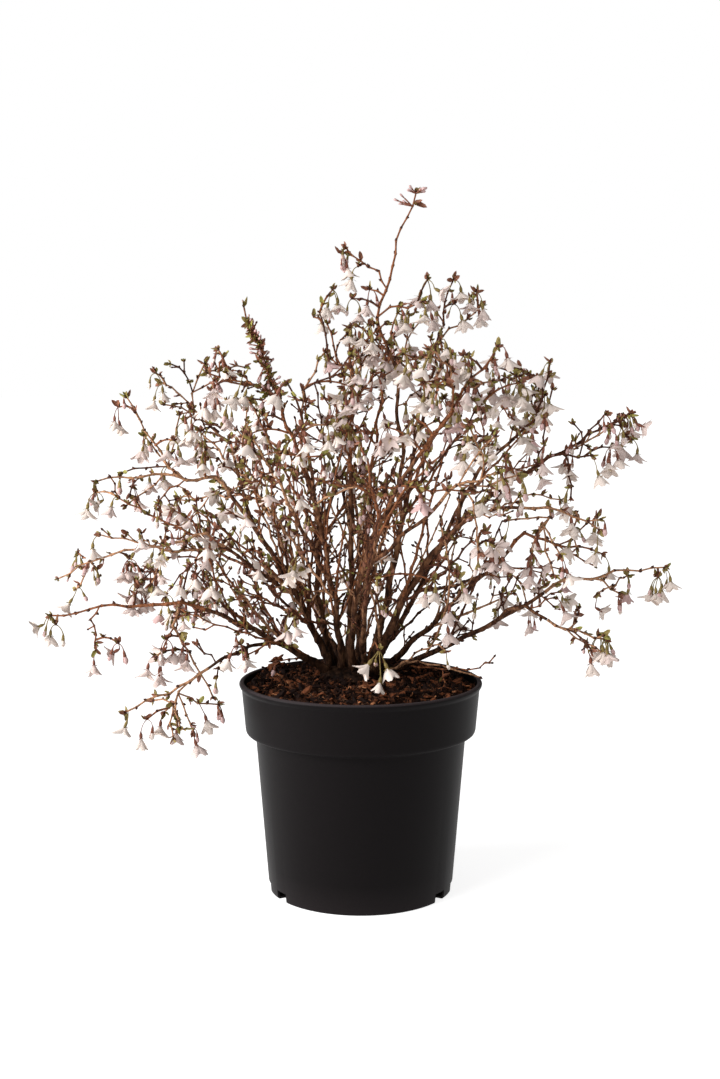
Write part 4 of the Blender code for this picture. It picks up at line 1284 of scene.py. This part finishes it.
class Dresser:
    """Carries the twigs on to finer ones and hangs buds, leaves and blossoms on them."""

    # each tint's colour and how often it is picked
    TWIG_TINTS = {
        "dark": ((0.062, 0.022, 0.011), 4),
        "brown": ((0.158, 0.058, 0.025), 5),
        "tan": ((0.26, 0.134, 0.072), 2.5),
    }
    PETAL_TINTS = {
        "white": ((0.715, 0.616, 0.555), 6),
        "blush": ((0.645, 0.525, 0.485), 4),
        "pink": ((0.52, 0.35, 0.335), 0.5),
    }
    GREEN_TINTS = {
        "olive": ((0.205, 0.152, 0.040), 5),
        "yellow": ((0.25, 0.225, 0.050), 1.4),
        "bronze": ((0.200, 0.075, 0.040), 6),
    }
    CALYX_TINTS = {
        "red": ((0.170, 0.058, 0.034), 4),
        "olive": ((0.19, 0.135, 0.040), 5),
    }
    # how far a blossom's petals open and flare, and its size; the last two kinds face outwards
    FLOWER_KINDS = (
        (0.50, 0.35, 1.0), (0.55, 0.50, 1.0), (0.36, 0.62, 1.0), (0.70, 0.30, 1.0), (0.48, 0.70, 1.0),
        (0.80, -0.25, 1.0), (0.34, 0.22, 0.95), (0.85, 0.0, 0.95), (0.92, 0.15, 0.85), (1.02, 0.0, 0.85),
    )
    OUTWARD_KINDS = (8, 9)
    HANGING_WEIGHTS = (5, 4, 4, 3, 3, 3, 4, 2)
    BUD_SIZES = (0.72, 0.85, 1.0, 0.9)
    # length, width, fold and droop of each kind of leaf
    LEAF_KINDS = ((6.0, 4.0, 0.8, 0.4), (8.4, 4.8, 0.65, 0.7), (4.6, 3.6, 0.9, 0.2))

    def __init__(self, limbs, masses, blossoms):
        self.limbs, self.masses, self.blossoms = limbs, masses, blossoms
        self.kept = {name: [] for name in masses}
        self.choose_twigs()
        lines = [smooth_path(path, radii, 6.0)[0][8:] for path, radii in limbs.values()]
        lines += [smooth_path(twig.path, twig.radii, 6.0)[0][:-1]
                  for name in masses for twig in self.kept[name] if not twig.level]
        self.anchors = np.vstack(lines)
        self.limb_starts = np.vstack([path[:-1] for path, _ in limbs.values()])
        self.limb_steps = np.vstack([np.diff(path, axis=0) for path, _ in limbs.values()])
        self.limb_radii = np.concatenate([radii[:-1] for _, radii in limbs.values()])
        self.centres = np.zeros((0, 3))
        self.twigs = {tint: Heap() for tint in self.TWIG_TINTS}
        self.stalks = {tint: Heap() for tint in self.CALYX_TINTS}
        self.flowers, self.buds, self.leaves = (defaultdict(list) for _ in range(3))
        self.knobs = []
        self.flower_shapes = [flower(f"flower {k}", *kind) for k, kind in enumerate(self.FLOWER_KINDS)]
        self.bud_shapes = [closed_bud(f"bud {k}", size) for k, size in enumerate(self.BUD_SIZES)]
        self.leaf_shapes = [leaf(f"leaf {k}", *kind) for k, kind in enumerate(self.LEAF_KINDS)]

    @staticmethod
    def pick(tints, rng):
        names = list(tints)
        return rng.choices(names, [tints[n][1] for n in names])[0]

    def blossom_tints(self, rng):
        return self.pick(self.CALYX_TINTS, rng), self.pick(self.PETAL_TINTS, rng)

    def far_from_limbs(self, point, gap):
        return (distances_from(point, self.limb_starts, self.limb_steps) - self.limb_radii).min() > gap

    def draw(self, nodes, widths, tint):
        rings, radii = knobbed(nodes, widths)
        rod(self.twigs[tint], rings, radii, 6 if widths[0] > 1.3 else 5)

    def knob(self, place, heading, rng, size=1.0):
        self.knobs.append((turn_to(heading, spin(rng), size * rng.uniform(0.7, 1.15)), place))

    def hang(self, place, outward, rng, kind, calyx_tint, petal_tint, exact=None, clear=FLOWER_ROOM):
        """One stalk with a blossom or a bud at its end; exact gives the stalk's direction and length."""
        if exact is not None:
            heading, length = exact
            end, through = place + heading * length, place + heading * length * 0.5 + outward * 1.2
        else:
            length = rng.uniform(9, 17) if kind == "flower" else rng.uniform(6, 14)
            heading = unit(outward + [rng.uniform(-0.6, 0.6), rng.uniform(-0.6, 0.6), rng.uniform(-0.5, 0.3)])
            through = place + heading * length * 0.45
            end = through + np.array([0, 0, -1.0]) * length * 0.5 + heading * length * 0.14
        droop = unit(unit(end - through) + [rng.uniform(-0.4, 0.4), rng.uniform(-0.4, 0.4), -0.45])
        faces_out = kind == "flower" and rng.random() < 0.12
        if faces_out:
            away = unit([place[0] + rng.uniform(-60, 60), place[1] + rng.uniform(-60, 60), 0.0])
            droop = unit(droop * 0.55 + away)
        centre = end + droop * FLOWER_DROP
        if in_gap(centre):
            return
        if kind == "flower" and exact is None:
            if len(self.centres) and np.linalg.norm(self.centres - centre, axis=1).min() < clear + 1.5:
                return
            if not self.far_from_limbs(centre, 5.0):
                return
        path = bow(place, through, end, np.linspace(0, 1, 5)[:, None])
        rod(self.stalks[calyx_tint], path, (0.6, 0.48, 0.45, 0.5, 0.65), 4)
        turn = turn_to(droop, spin(rng), rng.uniform(0.88, 1.08))
        if kind == "flower":
            self.centres = np.vstack([self.centres, centre])
            if faces_out:
                shape = rng.choice(self.OUTWARD_KINDS)
            else:
                shape = rng.choices(range(8), self.HANGING_WEIGHTS)[0]
            self.flowers[shape, petal_tint, calyx_tint].append((turn, end))
        else:
            bud_tint = "pink" if rng.random() < 0.55 else petal_tint
            self.buds[rng.randrange(4), bud_tint, calyx_tint].append((turn, end))

    def upright_bud(self, place, way, length, rng, size=0.42):
        """A small young bud on a short stalk that points along way."""
        end = place + way * length
        rod(self.stalks["red"], [place, end], (0.6, 0.8), 4)
        shape = rng.randrange(4)
        self.buds[shape, "pink", "red"].append((turn_to(way, spin(rng), size), end))

    def tuft(self, place, heading, rng, count):
        """Small young leaves that spread from one place."""
        for _ in range(count):
            way = unit(heading + [rng.uniform(-0.9, 0.9), rng.uniform(-0.9, 0.9), rng.uniform(-0.7, 0.8)])
            tint = self.pick(self.GREEN_TINTS, rng)
            turn = turn_to(way, spin(rng), rng.uniform(0.8, 1.3))
            self.leaves[rng.choice((0, 1, 2)), tint].append((turn, place + heading * 0.6))

    def cluster(self, place, outward, rng, flower_share=0.5, clear=FLOWER_ROOM):
        """A spur end: bud scales and small leaves with one to three hanging blossoms or buds."""
        if in_thicket(place):
            if rng.random() > THICKET_BLOOM + 0.2:
                self.tuft(place, outward, rng, rng.choice(SOME))
                return
            flower_share *= THICKET_BLOOM
        kind = "flower" if rng.random() < flower_share else "bud"
        tints = self.blossom_tints(rng)
        for _ in range(rng.choices((1, 2, 3), (3, 5, 3))[0]):
            self.hang(place, outward, rng, kind if rng.random() < 0.8 else "bud", *tints, None, clear)
        self.tuft(place, outward, rng, rng.choice(SOME))
        self.knob(place, outward, rng)

    def fine(self, start, heading, length, width, tint, rng, depth, tips, richness):
        """A fine twig of a few nodes, with spurs, buds and clusters."""
        count = max(1, int(round(length / FINE_INTERNODE)))
        nodes, place = [start], start
        side = square_to(heading, rng)
        for k in range(count):
            kink = side * (0.36 if k % 2 else -0.36) * rng.uniform(0.6, 1.3)
            heading = unit(heading + [0, 0, rng.uniform(-0.05, 0.12)])
            place = place + unit(heading + kink) * length / count * rng.uniform(0.85, 1.15)
            nodes.append(place)
        if tips is not None and not within_reach(nodes[-1] + heading * 2.0, tips):
            return
        if in_gap(nodes[-1]) or nodes[-1][2] < LOWEST or not self.far_from_limbs(nodes[-1], 1.0):
            return
        widths = np.linspace(max(width, THINNEST), THINNEST, len(nodes))
        self.draw(np.array(nodes), widths, tint)
        self.furnish(nodes, widths, tint, rng, depth, tips, richness)

    def furnish(self, nodes, widths, tint, rng, depth, tips, richness):
        """Hangs clusters and tufts on the nodes of a fine twig and grows finer ones from some of them."""
        greens = 1.0 if tips is not None else 0.4
        for i in range(1, len(nodes)):
            ahead = unit(nodes[i] - nodes[i - 1])
            last = i == len(nodes) - 1
            outward = ahead if last else side_heading(ahead, rng, -0.1)
            if rng.random() < (0.8 if last else 0.35) * richness:
                self.cluster(nodes[i], outward, rng)
            elif rng.random() < 0.6 * greens:
                self.tuft(nodes[i], outward, rng, rng.choice(FEW))
            self.knob(nodes[i], outward, rng, 1.1)
            if not last and rng.random() < 0.4:
                self.knob(nodes[i], side_heading(ahead, rng, 0.1), rng)
            if depth and not last and rng.random() < 0.25:
                branch = side_heading(ahead, rng, 0.1)
                length = rng.uniform(6, 18)
                self.fine(nodes[i], branch, length, widths[i] * 0.8, tint, rng, depth - 1, tips, richness)

    def spire(self, name, place):
        """How often a node bears a tuft if it is on a spire's upper part, otherwise None."""
        if name not in SPIRES:
            return None
        length, share = SPIRES[name]
        line, _ = smooth_path(self.masses[name][0].path, self.masses[name][0].radii, 5.0)
        line = line[np.linalg.norm(line - line[-1], axis=1) < length]
        if np.linalg.norm(line - place, axis=1).min() > 9.0:
            return None
        return share if np.linalg.norm(place - line[-1]) > BARE_TIP else 0.0

    def choose_twigs(self):
        """The source's twigs that are kept here: all main ones, and side twigs where there's no gap."""
        for name in MASSES:
            rng = random.Random("keep " + name)
            *_, share = dressing(name)
            for twig in self.masses[name]:
                wanted = rng.random() < share and not in_gap(twig.path[-1]) and twig.path[-1][2] > LOWEST
                if twig.level and (not wanted or self.spire(name, twig.path[0]) is not None):
                    continue
                self.kept[name].append(twig)

    def on_twig(self, name, place):
        """Whether a place is on one of the kept twigs of a mass."""
        return any(distances_from(place, twig.path[:-1], np.diff(twig.path, axis=0)).min() < 0.5
                   for twig in self.kept[name])

    def dress_mass(self, name):
        """Draws the kept twigs of a mass and dresses their nodes and ends."""
        rng = random.Random("dress " + name)
        tips = MASSES[name][1:]
        base_tint = self.pick(self.TWIG_TINTS, rng)
        if name in SPIRES:
            base_tint = "brown"
        for number, twig in enumerate(self.kept[name]):
            tint = base_tint if rng.random() < 0.6 or name in SPIRES else self.pick(self.TWIG_TINTS, rng)
            nodes, widths = jagged(twig.path, np.maximum(twig.radii, THINNEST + 0.1), rng)
            if number:
                widths[0] = widths[1]
            self.draw(nodes, widths, tint)
            for i in range(1, len(nodes) - 1):
                along = unit(nodes[i + 1] - nodes[i - 1])
                outward = side_heading(along, rng, 0.1)
                zone = self.spire(name, nodes[i])
                self.knob(nodes[i], outward, rng, 1.15)
                if rng.random() < 0.4:
                    self.knob(nodes[i], side_heading(along, rng, 0.1), rng)
                if zone is None:
                    self.dress_node(name, nodes[i], outward, widths[i], tint, rng, tips)
                elif rng.random() < zone:
                    self.dress_spire(nodes[i:i + 2], outward, tint, rng, tips)
            self.dress_end(name, number, nodes, rng)

    def dress_node(self, name, node, outward, width, tint, rng, tips):
        """A fine twig, a cluster, a tuft or nothing at one node of a twig."""
        chance, reach, bloom, _, _ = dressing(name)
        if rng.random() < chance:
            length = rng.uniform(*FINE_LENGTH) * reach
            self.fine(node, outward, length, width * 0.65, tint, rng, 1, tips, bloom)
        elif rng.random() < 0.3 * bloom:
            self.cluster(node, outward, rng)
        elif rng.random() < 0.5 * min(1.0, 5 * chance):
            self.tuft(node, outward, rng, rng.choice(FEW))
            if rng.random() < 0.5:
                self.upright_bud(node, outward, rng.uniform(1.0, 4.0), rng)

    def dress_spire(self, ends, outward, tint, rng, tips):
        """Tufts and young buds on both sides of a spire, from one node to the next."""
        for share in (0.0, 0.35, 0.7):
            spot = ends[0] * (1 - share) + ends[1] * share
            for way in (outward, -outward):
                self.tuft(spot, way, rng, rng.choice((4, 5, 6)))
                self.upright_bud(spot, unit(way + [0, 0, 1.0]), rng.uniform(2.0, 7.0), rng, 0.55)
        self.fine(ends[0], outward, rng.uniform(7, 15), 1.0, tint, rng, 0, tips, 0.0)
        self.hang(ends[0], outward, rng, "bud", "red", "pink")

    def dress_end(self, name, number, nodes, rng):
        """What a main or side twig bears at its end."""
        end, ahead = nodes[-1], unit(nodes[-1] - nodes[-2])
        hanging = ahead * 0.6 + [0, 0, -0.4]
        bloom = dressing(name)[2]
        self.tuft(end, ahead, rng, 4)
        self.knob(end, ahead, rng, 1.3)
        if not number and name == "twigs_top_spire":
            self.dress_top(end, ahead, rng)
        elif not number and name in SPIRES:
            self.upright_bud(end, ahead, 2.0, rng)
        elif not number:
            for _ in range(TIP_CLUSTERS.get(name, 1)):
                self.cluster(end, hanging, rng, 0.85, TIP_ROOM)
        elif number < len(MASSES[name]) - 1 and bloom > 0.15:
            self.cluster(end, hanging, rng, 0.7)
        elif rng.random() < 0.5 * bloom + 0.2:
            self.cluster(end, hanging, rng)

    def dress_top(self, end, ahead, rng):
        """The spray of young buds and bronze leaves at the very top, spread to both sides."""
        side = np.array([1.0, 0.0, 0.0])
        for _ in range(10):
            way = unit(ahead * 0.4 + side * rng.uniform(-1.6, 1.4) + [0, rng.uniform(-0.8, 0.8), 0])
            self.upright_bud(end, way, rng.uniform(1.5, 5.5), rng, 0.58)
        self.tuft(end, ahead, rng, 5)
        below = end - ahead * 10.0
        for k, tilt in enumerate((0.5, 0.2, 0.8, 0.35)):
            self.upright_bud(below - ahead * 3.0, unit(ahead * tilt - side), 6.0 + 2.5 * k, rng, 0.5)
        for tilt, size in ((-0.5, 1.7), (0.2, 1.1)):
            self.leaves[1, "bronze"].append((turn_to(unit(side + ahead * tilt), 0.6, size), below + side))
        self.tuft(below, side, rng, 3)

    def dress_limb(self, name):
        """Short bare or budded spurs and twigs straight from a stem or bough."""
        rng = random.Random("limb " + name)
        path, radii = smooth_path(*self.limbs[name], 9.0)
        tint = self.pick(self.TWIG_TINTS, rng)
        for i in range(2 if name in BOUGHS else 4, len(path) - 1):
            share = i / (len(path) - 1)
            outward = side_heading(path[i + 1] - path[i], rng, 0.2)
            start = path[i] + outward * radii[i] * 0.6
            if rng.random() < 0.34:
                length = rng.uniform(8, 20 + 34 * share)
                self.fine(start, outward, length, 0.85, tint, rng, 1, None, 0.30 * share)
            elif rng.random() < 0.85:
                self.knob(path[i] + outward * radii[i] * 0.8, outward, rng, 1.3)

    def shoot_path(self, name, number):
        """Nodes, width and draws of a shoot, on the first seeded way that keeps off the limbs, or None."""
        path, radii = self.limbs[name]
        for attempt in range(12):
            rng = random.Random(f"shoot {name} {number} {attempt}")
            i = rng.randrange(2 if SHOOTS.get(name, SHOOTS_USUAL) > 4 else 1, 7)
            along = unit(path[i + 1] - path[i])
            across = square_to(along, rng)
            lean = rng.uniform(0.25, 0.62)
            heading = unit(along * math.cos(lean) + across * math.sin(lean))
            place = path[i] + heading * radii[i] * 0.5
            length, width = rng.uniform(*SHOOT_LENGTH), rng.uniform(*SHOOT_WIDTH)
            count = int(round(length / SHOOT_INTERNODE))
            nodes = [place]
            side = square_to(heading, rng)
            bend = np.array([rng.uniform(-0.05, 0.05), rng.uniform(-0.05, 0.05), rng.uniform(0.0, 0.07)])
            for k in range(count):
                heading = unit(heading + bend)
                kink = side * (0.2 if k % 2 else -0.2) * rng.uniform(0.5, 1.3)
                place = place + unit(heading + kink) * length / count
                nodes.append(place)
            far = all(self.far_from_limbs(node, width + 1.0) for node in nodes[2:])
            if far and math.hypot(place[0], place[1]) < SHOOT_SPREAD and place[2] < SHOOT_TOP:
                return nodes, width, rng
        return None

    def shoot(self, name, number):
        """A long thin shoot that leaves a stem low down and runs up beside it through the bush."""
        found = self.shoot_path(name, number)
        if found is None:
            return
        nodes, width, rng = found
        tint = rng.choices(("dark", "brown", "tan"), (2, 4, 3))[0]
        widths = np.linspace(width, THINNEST, len(nodes))
        self.draw(np.array(nodes), widths, tint)
        for k in range(1, len(nodes)):
            share = k / (len(nodes) - 1)
            outward = side_heading(nodes[k] - nodes[k - 1], rng, 0.1)
            low = nodes[k][2] < BARE_BELOW
            if rng.random() < 0.28:
                richness = 0.0 if low else 0.4 * share
                length = rng.uniform(7, 30)
                self.fine(nodes[k], outward, length, widths[k] * 0.7, tint, rng, 1, None, richness)
            elif not low and rng.random() < 0.25 * share:
                self.cluster(nodes[k], outward, rng)
            self.knob(nodes[k], outward, rng, 1.1)

    def sprig(self, name, points, width, tint, richness, *hung):
        """A single twig along points, dressed by its richness, with blossoms hung at its end."""
        rng = random.Random(name)
        points = np.array(points, float)
        away = np.linalg.norm(self.anchors - points[0], axis=1)
        if away.min() < SNAP:
            points[0] = self.anchors[away.argmin()]
        nodes, widths = jagged(points, np.linspace(width, THINNEST, len(points)), rng, 11.0, 1.2)
        self.draw(nodes, widths, tint)
        self.anchors = np.vstack([self.anchors, nodes[1:]])
        for k in range(1, len(nodes)):
            outward = side_heading(nodes[k] - nodes[k - 1], rng, 0.2)
            self.knob(nodes[k], outward, rng, 1.1)
            if rng.random() < richness * 0.6:
                length = rng.uniform(10, 34)
                self.fine(nodes[k], outward, length, widths[k] * 0.7, tint, rng, 1, None, richness * 0.7)
            elif rng.random() < richness:
                self.tuft(nodes[k], outward, rng, rng.choice(FEW))
        if richness:
            self.cluster(nodes[-1], unit(nodes[-1] - nodes[-2]), rng, 0.7)
        for kind, heading, length in hung:
            self.hang(nodes[-1], unit(heading), rng, kind, "olive", "white", (unit(heading), length))
        if hung:
            self.tuft(nodes[-1], np.array([0.2, -0.4, 0.6]), rng, 4)

    def bunch(self, number, target, flowers, buds):
        """A thin twig from the nearest limb or main twig to target, with blossoms and buds at its end."""
        rng = random.Random(f"bunch {number}")
        target = np.array(target, float)
        above = np.maximum(0, self.anchors[:, 2] - target[2])
        away = np.linalg.norm(self.anchors - target, axis=1) + 1.2 * above
        start = self.anchors[away.argmin()]
        length = np.linalg.norm(target - start)
        if length > 8.0:
            knee = (start + target) / 2 + [0, 0, 0.12 * length]
            path = curve(start, knee, target, max(2, int(round(length / 11.0))))
            nodes, widths = jagged(path, np.linspace(1.35, THINNEST, len(path)), rng, 10.0, 1.0)
            tint = self.pick(self.TWIG_TINTS, rng)
            self.draw(nodes, widths, tint)
            for k in range(1, len(nodes) - 1):
                outward = side_heading(nodes[k] - nodes[k - 1], rng, 0.1)
                self.knob(nodes[k], outward, rng, 1.1)
                if rng.random() < 0.35:
                    self.tuft(nodes[k], outward, rng, rng.choice(FEW))
        turn = spin(rng)
        tints = self.blossom_tints(rng)
        for k in range(flowers + buds):
            angle = turn + 2.4 * k
            outward = unit([math.cos(angle), math.sin(angle), rng.uniform(-0.5, 0.1)])
            self.hang(target, outward, rng, "flower" if k < flowers else "bud", *tints, None, BUNCH_ROOM)
        self.tuft(target, np.array([0.0, 0.0, 1.0]), rng, 6)
        self.knob(target, unit([rng.uniform(-1, 1), 0.0, 1.0]), rng, 1.3)

    def hang_blossoms(self):
        """Opens the first of the source's blossoms of each mass that are on a kept twig."""
        for name, hung in self.blossoms.items():
            rng = random.Random("hang " + name)
            for node, heading, length in hung[:dressing(name)[3]]:
                if not self.on_twig(name, node) or self.spire(name, node) is not None:
                    continue
                tints = self.blossom_tints(rng)
                outward = unit([rng.uniform(-1, 1), rng.uniform(-1, 1), 0.1])
                if in_thicket(node) and rng.random() > THICKET_BLOOM:
                    self.tuft(node, outward, rng, 4)
                    continue
                self.hang(node, outward, rng, "flower", *tints, (heading, length))
                if rng.random() < 0.6:
                    self.hang(node, outward, rng, rng.choice(("flower", "bud", "bud")), *tints)
                self.tuft(node, -heading, rng, 2)

    def build(self):
        for sprig in SPRIGS:
            self.sprig(*sprig)
        for number, (*target, flowers, buds) in enumerate(BUNCHES):
            self.bunch(number, target, flowers, buds)
        self.hang_blossoms()
        for name in MASSES:
            self.dress_mass(name)
        for name in self.limbs:
            self.dress_limb(name)
        for name in STEMS:
            for number in range(SHOOTS.get(name, SHOOTS_USUAL)):
                self.shoot(name, number)
        self.make_twigs()
        self.make_blossoms()

    def make_twigs(self):
        pieces = [
            self.twigs[tint].make("twigs_" + tint, wood("twig_" + tint, colour, 420.0), "twigs")
            for tint, (colour, _) in self.TWIG_TINTS.items()
        ]
        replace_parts(pieces[0], *MASSES)
        heap = Heap()
        heap.repeat(turned(NODE_BUD, 5, NODE_BUD_POINT), self.knobs)
        heap.make("resting_buds", wood("bud_scales", (0.050, 0.020, 0.013), 900.0), "twigs")
        for tint, (colour, _) in self.GREEN_TINTS.items():
            heap = Heap()
            for (shape, kind), found in self.leaves.items():
                if kind == tint:
                    heap.repeat(self.leaf_shapes[shape], found)
            look = mottled("leaf_" + tint, colour, 0.5, 0.3, 600.0, ((0.3, 0.6), (0.7, 1.4)))
            heap.make("leaves_" + tint, look, "twigs")

    def make_blossoms(self):
        petals = {tint: Heap() for tint in self.PETAL_TINTS}
        stamens = Heap()
        for (shape, petal_tint, calyx_tint), found in self.flowers.items():
            white, green, yellow = self.flower_shapes[shape]
            petals[petal_tint].repeat(white, found)
            self.stalks[calyx_tint].repeat(green, found)
            stamens.repeat(yellow, found)
        for (shape, petal_tint, calyx_tint), found in self.buds.items():
            drop, green = self.bud_shapes[shape]
            petals[petal_tint].repeat(drop, found)
            self.stalks[calyx_tint].repeat(green, found)
        for tint, (colour, _) in self.PETAL_TINTS.items():
            look = mottled("petal_" + tint, colour, 0.6, 0.25, 260.0, ((0.3, 0.94), (0.7, 1.05)))
            petals[tint].make("petals_" + tint, look, "twigs")
        for tint, (colour, _) in self.CALYX_TINTS.items():
            look = mottled("calyx_" + tint, colour, 0.55, 0.25, 500.0, ((0.3, 0.6), (0.7, 1.45)))
            self.stalks[tint].make("stalks_" + tint, look, "twigs")
        look = principled("stamen", (0.50, 0.38, 0.13), 0.6)
        add_noise(look, 700.0, ((0.3, (0.42, 0.30, 0.09)), (0.7, (0.62, 0.50, 0.24))))
        stamens.make("stamens", look, "twigs", smooth=False)


def build_stage():
    """A wide pale floor, soft light from the upper left and a weaker one from the right."""
    size = 30.0
    mesh = bpy.data.meshes.new("floor")
    corners = [(-size, -size, 0), (size, -size, 0), (size, size, 0), (-size, size, 0)]
    mesh.from_pydata(corners, [], [(0, 1, 2, 3)])
    grey, white_glow = (0.5, 0.5, 0.5), (1, 1, 1, 1)
    white = principled("floor_white", grey, 0.9, Emission_Color=white_glow, Emission_Strength=0.82)
    mesh.materials.append(white)
    floor = add_object("floor", mesh)
    build_sky()
    add_light("key", "SUN", (-0.85, -0.75, 0.85), (0, 0, 0), energy=1.9, angle=math.radians(30))
    add_light("left_box", "AREA", (-1.5, -0.45, 0.6), (0, 0, 0.25), energy=28.0, size=0.8)
    add_light("right_box", "AREA", (1.6, -0.8, 0.8), (0, 0, 0.3), energy=1.5, size=0.9)
    bpy.context.scene.view_settings.view_transform = "Standard"
    bpy.context.scene.view_settings.look = "None"


def build_sky():
    """A white world, full to the camera, dim as a light and dimmer in reflections."""
    world = bpy.data.worlds.new("studio")
    bpy.context.scene.world = world
    world.use_nodes = True
    tree = world.node_tree
    tree.nodes.clear()
    path = tree.nodes.new("ShaderNodeLightPath")
    shader = white_light(tree, 0.34)
    for kind, strength in (("Is Glossy Ray", 0.14), ("Is Camera Ray", 1.0)):
        mix = tree.nodes.new("ShaderNodeMixShader")
        tree.links.new(path.outputs[kind], mix.inputs["Fac"])
        tree.links.new(shader, mix.inputs[1])
        tree.links.new(white_light(tree, strength), mix.inputs[2])
        shader = mix.outputs["Shader"]
    out = tree.nodes.new("ShaderNodeOutputWorld")
    tree.links.new(shader, out.inputs["Surface"])


def white_light(tree, strength):
    return add_node(tree, "ShaderNodeBackground", Color=(1, 1, 1, 1), Strength=strength).outputs["Background"]


def add_light(name, kind, place, target, **settings):
    light = bpy.data.lights.new(name, kind)
    for key, value in settings.items():
        setattr(light, key, value)
    lamp = add_object(name, light)
    lamp.location = place
    lamp.rotation_euler = (Vector(target) - Vector(place)).to_track_quat("-Z", "Y").to_euler()


def build_camera():
    """The camera at the photograph's viewing angle."""
    data = bpy.data.cameras.new("camera")
    data.sensor_width = SENSOR
    data.lens = FOCAL_PIXELS / PHOTO[1] * SENSOR
    data.shift_x = CAMERA_SHIFT / PHOTO[1]
    data.clip_end = 100.0
    camera = add_object("camera", data)
    camera.location = CAMERA_AT
    camera.rotation_euler = (math.radians(90 - CAMERA_DOWN), 0, 0)
    bpy.context.scene.camera = camera


main()
